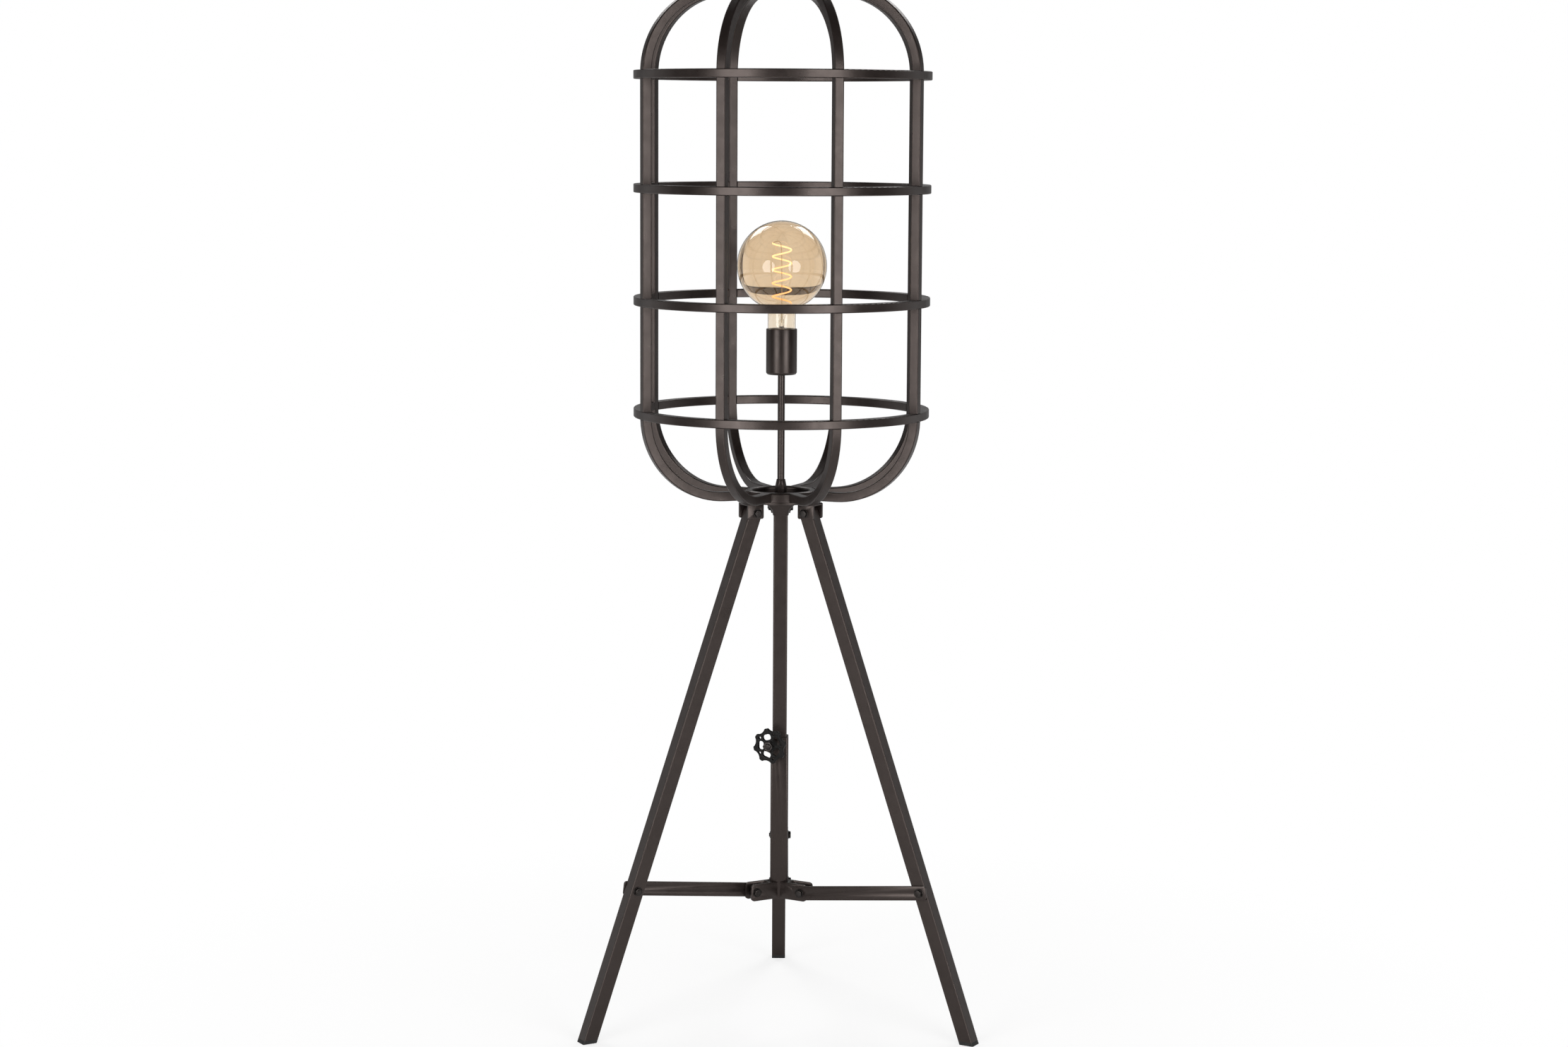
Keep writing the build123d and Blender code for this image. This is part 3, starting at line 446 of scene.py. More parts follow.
class Graph:
    """A node tree, with short calls that add and join nodes."""

    def __init__(self, tree: bpy.types.NodeTree) -> None:
        """Take a node tree in hand."""
        self.tree = tree

    def add(self, kind: str, **settings: object) -> bpy.types.Node:
        """Add a node and set its properties.

        Args:
            kind: The node's type.
            settings: Its properties.

        Returns:
            The node.
        """
        node = self.tree.nodes.new(kind)
        for key, value in settings.items():
            setattr(node, key, value)
        return node

    def join(self, source: object, target: bpy.types.NodeSocket) -> None:
        """Link two sockets, or set the target when the source is a plain value.

        Args:
            source: An output socket or a value.
            target: The input socket.
        """
        if isinstance(source, bpy.types.NodeSocket):
            self.tree.links.new(source, target)
        else:
            target.default_value = source

    def math(self, operation: str, first: object, second: object,
             **settings: object) -> bpy.types.NodeSocket:
        """A sum, a product or the like of two values.

        Args:
            operation: What is done to them.
            first: The first value or socket.
            second: The second value or socket.
            settings: The node's other properties.

        Returns:
            The result.
        """
        node = self.add("ShaderNodeMath", operation=operation, **settings)
        self.join(first, node.inputs[0])
        self.join(second, node.inputs[1])
        return node.outputs["Value"]

    def spread(self, value: object, low: float, high: float, from_low: float = 0.3,
               from_high: float = 0.7) -> bpy.types.NodeSocket:
        """Map a value's usual range onto another range.

        Args:
            value: The value.
            low: Result at the lower end.
            high: Result at the upper end.
            from_low: Lower end of the value's range.
            from_high: Upper end of the value's range.

        Returns:
            The mapped value.
        """
        node = self.add("ShaderNodeMapRange")
        self.join(value, node.inputs["Value"])
        node.inputs["From Min"].default_value = from_low
        node.inputs["From Max"].default_value = from_high
        node.inputs["To Min"].default_value = low
        node.inputs["To Max"].default_value = high
        return node.outputs["Result"]

    def blend(self, factor: object, first: object, second: object) -> bpy.types.NodeSocket:
        """Mix two numbers by a factor.

        Args:
            factor: 0 for the first alone, 1 for the second alone.
            first: The first value or socket.
            second: The second value or socket.

        Returns:
            The mixed number.
        """
        node = self.add("ShaderNodeMix")
        self.join(factor, node.inputs["Factor"])
        self.join(first, node.inputs[2])
        self.join(second, node.inputs[3])
        return node.outputs[0]

    def part(self, vector: bpy.types.NodeSocket, axis: str) -> bpy.types.NodeSocket:
        """One coordinate of a vector.

        Args:
            vector: The vector.
            axis: X, Y or Z.

        Returns:
            The coordinate.
        """
        split = self.add("ShaderNodeSeparateXYZ")
        self.join(vector, split.inputs["Vector"])
        return split.outputs[axis]

    def seen(self) -> bpy.types.NodeSocket:
        """1 for rays from the camera or through glass, 0 for all others."""
        path = self.add("ShaderNodeLightPath")
        return self.math("MAXIMUM", path.outputs["Is Camera Ray"], path.outputs["Is Transmission Ray"])


class Recipe(Graph):
    """A material's node tree round one Principled shader."""

    def __init__(self, name: str) -> None:
        """Start a material.

        Args:
            name: Name of the material.
        """
        self.material = bpy.data.materials.new(name)
        self.material.use_nodes = True
        super().__init__(self.material.node_tree)
        self.shader = self.tree.nodes["Principled BSDF"]
        self.place = self.add("ShaderNodeTexCoord").outputs["Object"]

    def noise(self, scale: float, detail: float = 3.0, roughness: float = 0.5,
              stretch: tuple[float, float, float] = (1, 1, 1)) -> bpy.types.NodeSocket:
        """A cloudy value over the piece.

        Args:
            scale: Cells per metre.
            detail: Number of finer layers.
            roughness: How strong the finer layers are.
            stretch: Scale along each axis.

        Returns:
            The value, mostly between 0.3 and 0.7.
        """
        mapping = self.add("ShaderNodeMapping")
        self.join(self.place, mapping.inputs["Vector"])
        mapping.inputs["Scale"].default_value = stretch
        node = self.add("ShaderNodeTexNoise")
        self.join(mapping.outputs["Vector"], node.inputs["Vector"])
        node.inputs["Scale"].default_value = scale
        node.inputs["Detail"].default_value = detail
        node.inputs["Roughness"].default_value = roughness
        return node.outputs["Fac"]

    def tint(self, factor: object, first: object, second: object) -> bpy.types.NodeSocket:
        """Mix two colours by a factor.

        Args:
            factor: 0 for the first alone, 1 for the second alone.
            first: The first colour, as a socket or as red, green and blue.
            second: The second colour, in the same way.

        Returns:
            The mixed colour.
        """
        node = self.add("ShaderNodeMix", data_type="RGBA")
        self.join(factor, node.inputs["Factor"])
        for socket, colour in ((node.inputs[6], first), (node.inputs[7], second)):
            linked = isinstance(colour, bpy.types.NodeSocket)
            self.join(colour if linked else (*colour, 1.0), socket)
        return node.outputs[2]

    def bump(self, height: object, distance: float) -> None:
        """Press a height pattern into the surface.

        Args:
            height: The pattern.
            distance: Its depth in metres.
        """
        node = self.add("ShaderNodeBump")
        self.join(height, node.inputs["Height"])
        node.inputs["Distance"].default_value = distance
        node.inputs["Strength"].default_value = 1.0
        self.join(node.outputs["Normal"], self.shader.inputs["Normal"])

    def edge(self, radius: float) -> bpy.types.NodeSocket:
        """A mask of the outer edges, from how far rounding would turn the surface.

        Args:
            radius: Width of the rounding.

        Returns:
            1 on an edge and 0 away from one.
        """
        rounded = self.add("ShaderNodeBevel", samples=4)
        rounded.inputs["Radius"].default_value = radius
        plain = self.add("ShaderNodeNewGeometry")
        same = self.add("ShaderNodeVectorMath", operation="DOT_PRODUCT")
        self.join(rounded.outputs["Normal"], same.inputs[0])
        self.join(plain.outputs["Normal"], same.inputs[1])
        turned_far = 0.75
        hardly_turned = 0.98
        return self.spread(same.outputs["Value"], 1.0, 0.0, turned_far, hardly_turned)

    def set(self, **values: object) -> None:
        """Set or link the shader's sockets; a name's underscores stand for spaces."""
        for name, value in values.items():
            self.join(value, self.shader.inputs[name.replace("_", " ")])


@dataclass(frozen=True)
class Paint:
    """Satin powder coat: a soft colour cloud, a fine grain and faintly rubbed edges."""

    deep: tuple[float, float, float] = (0.0100, 0.0072, 0.0064)
    light: tuple[float, float, float] = (0.0175, 0.0132, 0.0120)
    rubbed: tuple[float, float, float] = (0.032, 0.025, 0.022)
    sheen_colour: tuple[float, float, float] = (1.0, 0.84, 0.78)
    smooth: float = 0.27
    rough: float = 0.38
    specular: float = 0.55
    grain: float = 0.00004
    cloud_scale: float = 14.0
    speckle_scale: float = 1600.0
    speckle_share: float = 0.35
    wear_scale: float = 45.0
    wear_width: float = 0.0012
    rough_scale: float = 60.0
    grain_scale: float = 650.0

    def make(self, name: str) -> bpy.types.Material:
        """Build the material.

        Args:
            name: Its name.

        Returns:
            The material.
        """
        recipe = Recipe(name)
        cloud = recipe.spread(recipe.noise(self.cloud_scale, 4.0, 0.6), 0.0, 1.0)
        speckle = recipe.spread(recipe.noise(self.speckle_scale, 2.0, 0.6), 0.0, 1.0)
        body = recipe.tint(cloud, self.deep, self.light)
        flecked = recipe.tint(recipe.spread(speckle, 0.0, 0.35, 0.6, 1.0), self.deep, self.light)
        coat = recipe.tint(self.speckle_share, body, flecked)
        worn = recipe.spread(recipe.noise(self.wear_scale, 5.0, 0.7), 0.0, 0.55, 0.42, 0.68)
        edge = recipe.math("MULTIPLY", recipe.edge(self.wear_width), worn)
        sheen = recipe.noise(self.rough_scale, 4.0, 0.6)
        recipe.set(Base_Color=recipe.tint(edge, coat, self.rubbed), Metallic=0.0,
                   Roughness=recipe.spread(sheen, self.smooth, self.rough),
                   Specular_IOR_Level=self.specular, Specular_Tint=(*self.sheen_colour, 1.0))
        recipe.bump(recipe.noise(self.grain_scale, 3.0, 0.55), self.grain)
        return recipe.material


@dataclass(frozen=True)
class Metal:
    """Plated, blackened or cast metal, with stains and fine scratches."""

    bright: tuple[float, float, float]
    stained: tuple[float, float, float]
    smooth: float
    rough: float
    metallic: float = 1.0
    grain: float = 0.00002
    grain_scale: float = 900.0
    specular: float = 0.5
    stain_scale: float = 120.0
    rough_scale: float = 260.0

    def make(self, name: str) -> bpy.types.Material:
        """Build the material.

        Args:
            name: Its name.

        Returns:
            The material.
        """
        recipe = Recipe(name)
        stain = recipe.spread(recipe.noise(self.stain_scale, 5.0, 0.65), 0.0, 1.0)
        sheen = recipe.noise(self.rough_scale, 4.0, 0.6)
        recipe.set(Base_Color=recipe.tint(stain, self.bright, self.stained), Metallic=self.metallic,
                   Roughness=recipe.spread(sheen, self.smooth, self.rough),
                   Specular_IOR_Level=self.specular)
        recipe.bump(recipe.noise(self.grain_scale, 4.0, 0.6), self.grain)
        return recipe.material


@dataclass(frozen=True)
class Moulded:
    """Rubber, plastic or glaze: one colour with clouding, a sheen and a moulded grain."""

    deep: tuple[float, float, float]
    light: tuple[float, float, float]
    smooth: float
    rough: float
    grain: float = 0.00003
    grain_scale: float = 700.0
    cloud_scale: float = 70.0
    rough_scale: float = 300.0

    def make(self, name: str) -> bpy.types.Material:
        """Build the material.

        Args:
            name: Its name.

        Returns:
            The material.
        """
        recipe = Recipe(name)
        cloud = recipe.spread(recipe.noise(self.cloud_scale, 4.0, 0.6), 0.0, 1.0)
        sheen = recipe.noise(self.rough_scale, 3.0, 0.5)
        recipe.set(Base_Color=recipe.tint(cloud, self.deep, self.light),
                   Roughness=recipe.spread(sheen, self.smooth, self.rough))
        recipe.bump(recipe.noise(self.grain_scale, 3.0, 0.5), self.grain)
        return recipe.material


@dataclass(frozen=True)
class Glass:
    """Clear or tinted blown glass with a faint waviness; its tint may fade out downwards."""

    tint: tuple[float, float, float]
    streak: tuple[float, float, float]
    wave: float = 0.0002
    clear: tuple[float, float, float] = (0.91, 0.84, 0.74)
    fade_low: float = 0.0
    fade_high: float = 0.001
    index: float = 1.5
    haze: float = 0.012
    haze_scale: float = 90.0
    flow_scale: float = 30.0
    flow_stretch: tuple[float, float, float] = (1, 1, 0.3)
    wave_scale: float = 22.0

    def make(self, name: str) -> bpy.types.Material:
        """Build the material.

        Args:
            name: Its name.

        Returns:
            The material.
        """
        recipe = Recipe(name)
        flow = recipe.spread(recipe.noise(self.flow_scale, 2.0, 0.5, self.flow_stretch), 0.0, 1.0)
        body = recipe.tint(flow, self.tint, self.streak)
        rise = recipe.spread(recipe.part(recipe.place, "Z"), 0.0, 1.0, self.fade_low, self.fade_high)
        haze = recipe.spread(recipe.noise(self.haze_scale, 2.0), 0.0, self.haze)
        recipe.set(Base_Color=recipe.tint(rise, self.clear, body), Roughness=haze, IOR=self.index,
                   Transmission_Weight=1.0)
        recipe.bump(recipe.noise(self.wave_scale, 1.0), self.wave)
        return recipe.material


@dataclass(frozen=True)
class Glow:
    """A coated filament that glows paler towards its top."""

    low: float
    high: float
    ember: tuple[float, float, float] = (1.0, 0.46, 0.18)
    flame: tuple[float, float, float] = (1.0, 0.80, 0.50)
    strength: float = 1.5
    flicker: float = 0.12
    flicker_scale: float = 500.0
    grain: float = 0.00002
    grain_scale: float = 900.0

    def make(self, name: str) -> bpy.types.Material:
        """Build the material.

        Args:
            name: Its name.

        Returns:
            The material.
        """
        recipe = Recipe(name)
        rise = recipe.spread(recipe.part(recipe.place, "Z"), 0.0, 1.0, self.low, self.high)
        flicker = recipe.spread(recipe.noise(self.flicker_scale, 2.0), -self.flicker, self.flicker)
        share = recipe.math("ADD", rise, flicker, use_clamp=True)
        colour = recipe.tint(share, self.ember, self.flame)
        recipe.set(Base_Color=colour, Emission_Color=colour, Roughness=0.5,
                   Emission_Strength=self.strength)
        recipe.bump(recipe.noise(self.grain_scale, 2.0), self.grain)
        return recipe.material


class Finishes:
    """All finishes of the lamp, one for each slot."""

    def __init__(self) -> None:
        """Build every material once."""
        recipes = {
            Slot.PAINT: Paint(),
            Slot.FASTENER: Metal((0.060, 0.054, 0.052), (0.030, 0.026, 0.024), 0.28, 0.45),
            Slot.WHEEL: Metal((0.0065, 0.0060, 0.0058), (0.0035, 0.0032, 0.0030), 0.42, 0.60,
                              metallic=0.0, grain=0.00012, grain_scale=420.0, specular=0.18),
            Slot.RUBBER: Moulded((0.010, 0.010, 0.010), (0.020, 0.019, 0.018), 0.65, 0.85),
            Slot.PLASTIC: Moulded((0.012, 0.012, 0.012), (0.022, 0.021, 0.020), 0.40, 0.60),
            Slot.LEAD: Moulded((0.10, 0.040, 0.018), (0.15, 0.062, 0.028), 0.35, 0.50),
            Slot.CERAMIC: Moulded((0.70, 0.68, 0.63), (0.82, 0.80, 0.76), 0.12, 0.25),
            Slot.BRASS: Metal((0.72, 0.52, 0.24), (0.42, 0.28, 0.11), 0.18, 0.35),
            Slot.CAP: Metal((0.74, 0.62, 0.42), (0.46, 0.36, 0.22), 0.16, 0.32),
            Slot.GLAZE: Moulded((0.006, 0.006, 0.006), (0.014, 0.012, 0.011), 0.05, 0.15,
                                grain=0.00001),
            Slot.GLASS: Glass((0.84, 0.71, 0.55), (0.88, 0.76, 0.61), fade_low=0.993,
                              fade_high=1.018),
            Slot.GLOW: Glow(1.015, 1.100),
            Slot.MOUNT: Glass((0.93, 0.90, 0.84), (0.96, 0.94, 0.90), wave=0.0001),
        }
        self.materials = {slot: recipe.make(slot.value) for slot, recipe in recipes.items()}

    def dress(self, piece: bpy.types.Object, slot: Slot) -> None:
        """Give a new piece its finish.

        Args:
            piece: The piece.
            slot: Its finish.
        """
        piece.data.materials.clear()
        piece.data.materials.append(self.materials[slot])

    def dress_frame(self, nodes: dict[str, bpy.types.Object]) -> None:
        """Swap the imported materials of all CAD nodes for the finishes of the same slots.

        Args:
            nodes: The CAD nodes by name.
        """
        by_name = {slot.value: self.materials[slot] for slot in Slot}
        for node in nodes.values():
            for holder in node.material_slots:
                base = holder.material.name.split(".")[0]
                holder.material = by_name[base]


@dataclass
class Assembly:
    """Common ground of the sub-assemblies: hands a shaped piece over to the frame."""

    nodes: dict[str, bpy.types.Object]
    finishes: Finishes

    def hand_over(self, piece: bpy.types.Object, slot: Slot, body: str, *replaced: str,
                  angle: float = 40.0) -> None:
        """Shade and dress a piece, let it ride on its body and stand for CAD nodes.

        Args:
            piece: The shaped piece.
            slot: Its finish.
            body: The body that it moves with.
            replaced: CAD nodes that it stands for.
            angle: Edges sharper than this stay crisp.
        """
        Bench.shade(piece, angle)
        self.finishes.dress(piece, slot)
        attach(piece, body)
        if replaced:
            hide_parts(*replaced)
        LOG.info("%s rides on %s, finish %s", piece.name, body, slot.value)


# --- bulb


@dataclass
class Bulb(Assembly):
    """The globe, its coiled filament on a glass mount, and the threaded cap.

    Heights in collar, cone, glaze and contact are counted from cap_floor, those in stalk, low_bends and
    high_bends from the mount's press, and those in crest_bends from crest_rise above the coil.
    """

    centre: float = 1.0653
    ball: float = 0.0625
    neck: float = 0.0195
    blend: float = 0.009
    wall: float = 0.0012
    cap_top: float = 0.9663
    cap_floor: float = 0.9423
    cap_radius: float = 0.013
    shoulder: float = 0.012
    pitch: float = 0.00363
    thread_depth: float = 0.0007
    thread_low: float = 0.003
    thread_high: float = 0.0185
    seal_inset: float = 0.0006
    seal_depth: float = 0.002
    coil_radius: float = 0.013
    coil_turns: float = 4.5
    coil_pitch: float = 0.0185
    coil_wire: float = 0.0011
    coil_below_centre: float = 0.0105
    flare_radius: float = 0.0108
    flare_taper: float = 0.0078
    flare_rise: float = 0.018
    flare_rim: float = 0.0005
    press_rise: float = 0.020
    stalk: Outline = ((0.0030, 0.0), (0.0032, 0.003), (0.0016, 0.006), (0.0014, 0.020),
                      (0.0018, 0.0215), (0.0, 0.0225))
    wire: float = 0.0004
    low_bends: Outline = ((0.002, 0.0), (0.005, 0.010))
    low_tuck: float = 0.8
    low_drop: float = 0.006
    high_bends: Outline = ((0.0, 0.0), (0.0, 0.021))
    crest_rise: float = 0.004
    crest_bends: Outline = ((0.0, -0.012), (-0.002, 0.0))
    hook: tuple[float, float, float] = (0.005, 0, 0.003)
    collar: Outline = ((0.0119, 0.0180), (0.0123, 0.0185), (0.0127, 0.0195), (0.0130, 0.0235),
                       (0.0131, 0.0240), (0.0124, 0.0242), (0.0122, 0.0235), (0.0115, 0.0190))
    cone: Outline = ((0.0124, 0.0036), (0.0123, 0.0022), (0.0115, 0.0006), (0.0093, 0.0),
                     (0.0046, 0.0), (0.0046, 0.0006), (0.0091, 0.0006), (0.0111, 0.0030))
    glaze: Outline = ((0.0, 0.0004), (0.0118, 0.0004), (0.0112, -0.0008), (0.0085, -0.0022),
                      (0.0055, -0.0029), (0.0, -0.0029))
    contact: Outline = ((0.0, -0.0028), (0.0040, -0.0028), (0.0040, -0.0036), (0.0032, -0.0042),
                        (0.0014, -0.0045), (0.0, -0.0045))

    def __post_init__(self) -> None:
        """Work out the coil's height."""
        self.coil_height = self.coil_turns * self.coil_pitch
        self.coil_floor = self.centre - self.coil_below_centre - self.coil_height / 2

    def skin(self) -> list[tuple[float, float]]:
        """Outline of the blown glass, from its seal up to its crown.

        Returns:
            Radius and height of each corner.
        """
        drop = sqrt((self.ball + self.blend) ** 2 - (self.neck + self.blend) ** 2)
        blend_centre = (self.neck + self.blend, self.centre - drop)
        meeting = atan2(-drop, self.neck + self.blend)
        seal = self.cap_radius - self.seal_inset
        start = self.cap_top + self.shoulder
        outline = [(seal, self.cap_top - self.seal_depth), (seal, self.cap_top)]
        for step in range(1, 9):
            share = step / 8
            ease = share * share * (3 - 2 * share)
            height = self.cap_top + (start - self.cap_top) * share
            outline.append((seal + (self.neck - seal) * ease, height))
        outline += arc(blend_centre, self.blend, pi, pi + meeting, 10)
        outline += arc((0, self.centre), self.ball, meeting, pi / 2, 56)[1:-1]
        return outline + [(0.0, self.centre + self.ball)]

    def globe(self) -> None:
        """Spin the glass and give it its wall."""
        piece = Bench.lathe("bulb_glass", self.skin(), steps=96)
        Bench.wall(piece, self.wall)
        self.hand_over(piece, Slot.GLASS, "bulb", "bulb_globe", angle=70)

    def coil_point(self, turns: float) -> Vector:
        """A point of the coil.

        Args:
            turns: Turns up from its lower end.

        Returns:
            The point.
        """
        turn = tau * turns
        return AXIS + Vector((self.coil_radius * cos(turn), self.coil_radius * sin(turn),
                              self.coil_floor + self.coil_pitch * turns))

    def filament(self) -> None:
        """Wind the coil: a small circle screwed up about the axis."""
        Bench.clear()
        bpy.ops.mesh.primitive_circle_add(vertices=10, radius=self.coil_wire, fill_type="NOTHING",
                                          rotation=(pi / 2, 0, 0),
                                          location=(self.coil_radius, 0, 0))
        piece = bpy.context.object
        piece.name = "bulb_coil"
        Bench.settle(piece)
        steps = round(self.coil_turns * 40)
        Bench.modify(piece, "SCREW", axis="Z", angle=tau * self.coil_turns,
                     screw_offset=self.coil_height, steps=steps, render_steps=steps)
        Bench.edit(piece)
        bpy.ops.mesh.select_all(action="DESELECT")
        bpy.ops.mesh.select_non_manifold(extend=False)
        bpy.ops.mesh.edge_face_add()
        Bench.close_up()
        Bench.put(piece, Matrix.Translation(AXIS + Vector((0, 0, self.coil_floor))))
        self.hand_over(piece, Slot.GLOW, "bulb", "bulb_filament", angle=60)

    def mount(self) -> None:
        """The flared glass foot, its thin rod, and the wires that hold the coil."""
        foot = self.cap_top
        press = foot + self.press_rise
        outline = [(0.0, foot), (self.flare_radius, foot)]
        for step in range(9):
            turn = step / 8 * pi / 2
            outline.append((self.flare_radius - self.flare_taper * sin(turn),
                            foot + self.flare_rise * (1 - cos(turn)) + self.flare_rim))
        piece = Bench.lathe("bulb_flare", outline + raised(self.stalk, press), steps=32)
        self.hand_over(piece, Slot.MOUNT, "bulb", "bulb_mount", angle=50)
        low = self.coil_point(0)
        top = self.coil_point(self.coil_turns)
        below = Vector((low.x * self.low_tuck, AXIS.y, low.z - self.low_drop))
        foot_bends = [beside_axis(*bend) for bend in raised(self.low_bends, press)]
        rod_bends = [beside_axis(*bend) for bend in raised(self.high_bends, press)]
        crest = [beside_axis(*bend) for bend in raised(self.crest_bends, top.z + self.crest_rise)]
        wires = {
            "bulb_lead_low": [*foot_bends, below, low],
            "bulb_lead_high": [*rod_bends, *crest, top + Vector(self.hook), top],
        }
        for name, points in wires.items():
            self.hand_over(Bench.rod(name, points, self.wire), Slot.CAP, "bulb")

    def cap(self) -> None:
        """The rolled screw cap with its collar and its cone down to the insulator."""
        low = self.cap_floor
        tube = Bench.thread("bulb_cap_thread", self.cap_radius, low + self.thread_low,
                            low + self.thread_high, self.pitch, self.thread_depth)
        Bench.put(tube, Matrix.Translation(AXIS))
        collar = Bench.lathe("bulb_cap_collar", raised(self.collar, low))
        cone = Bench.lathe("bulb_cap_cone", raised(self.cone, low))
        piece = Bench.join([tube, collar, cone], "bulb_screw_cap")
        self.hand_over(piece, Slot.CAP, "bulb", "bulb_cap", angle=50)

    def tip(self) -> None:
        """The black glass insulator and the soldered contact under it."""
        glaze = Bench.lathe("bulb_base_glaze", raised(self.glaze, self.cap_floor), steps=48)
        self.hand_over(glaze, Slot.GLAZE, "bulb", "bulb_insulator")
        contact = Bench.lathe("bulb_contact", raised(self.contact, self.cap_floor), steps=32)
        self.hand_over(contact, Slot.CAP, "bulb_tip", "bulb_tip")

    def build(self) -> None:
        """Make every piece of the bulb."""
        self.globe()
        self.filament()
        self.mount()
        self.cap()
        self.tip()


# --- lampholder


@dataclass
class Lampholder(Assembly):
    """The steel cup at the top of the stem, its ceramic core and the threaded brass shell."""

    floor: float = 0.914
    tall: float = 0.064
    radius: float = 0.0215
    wall: float = 0.0015
    corner: float = 0.004
    stem: float = 0.00505
    core_radius: float = 0.018
    core_top: float = 0.9495
    pocket: float = 0.010
    web_low: float = 0.9295
    web_high: float = 0.9335
    shell_radius: float = 0.0142
    shell_top: float = 0.9665
    pitch: float = 0.00363
    depth: float = 0.0007
    chip: float = 0.0005
    play: float = 0.0001
    shell_wall: float = 0.0004

    def cup(self) -> None:
        """Turn the cup with its rounded bottom corner and rolled lip."""
        low = self.floor
        top = low + self.tall
        outside = arc((self.radius - self.corner, low + self.corner), self.corner, -pi / 2, 0, 8)
        lip = arc((self.radius - self.wall / 2, top - self.wall / 2), self.wall / 2, 0, pi, 8)
        inner = self.radius - self.wall
        inside = arc((self.radius - self.corner, low + self.corner), self.corner - self.wall,
                     0, -pi / 2, 8)
        outline = [(self.stem, low), *outside, *lip, (inner, low + self.corner), *inside[1:],
                   (self.stem, low + self.wall), (self.stem, low)]
        piece = Bench.lathe("holder_cup", outline, steps=96)
        self.hand_over(piece, Slot.PAINT, "root", "lampholder_cup", angle=50)

    def core(self) -> None:
        """Turn the ceramic core with broken edges."""
        low = self.floor + self.wall
        chip = self.chip
        outline = [(0.0, self.web_low), (self.pocket, self.web_low), (self.pocket, low + chip),
                   (self.pocket + chip, low), (self.core_radius - chip, low),
                   (self.core_radius, low + chip), (self.core_radius, self.core_top - chip),
                   (self.core_radius - chip, self.core_top),
                   (self.shell_radius + chip, self.core_top),
                   (self.shell_radius + self.play, self.core_top - chip),
                   (self.shell_radius + self.play, self.web_high), (0.0, self.web_high)]
        piece = Bench.lathe("holder_core", outline)
        self.hand_over(piece, Slot.CERAMIC, "root", "lampholder_core")

    def shell(self) -> None:
        """Roll the brass shell and give it its wall."""
        piece = Bench.thread("holder_shell", self.shell_radius, self.web_high, self.shell_top,
                             self.pitch, self.depth)
        Bench.wall(piece, self.shell_wall)
        Bench.put(piece, Matrix.Translation(AXIS))
        self.hand_over(piece, Slot.BRASS, "root", "lampholder_screw_shell", angle=60)

    def build(self) -> None:
        """Make every piece of the lampholder."""
        self.cup()
        self.core()
        self.shell()


# --- hinges and clamp


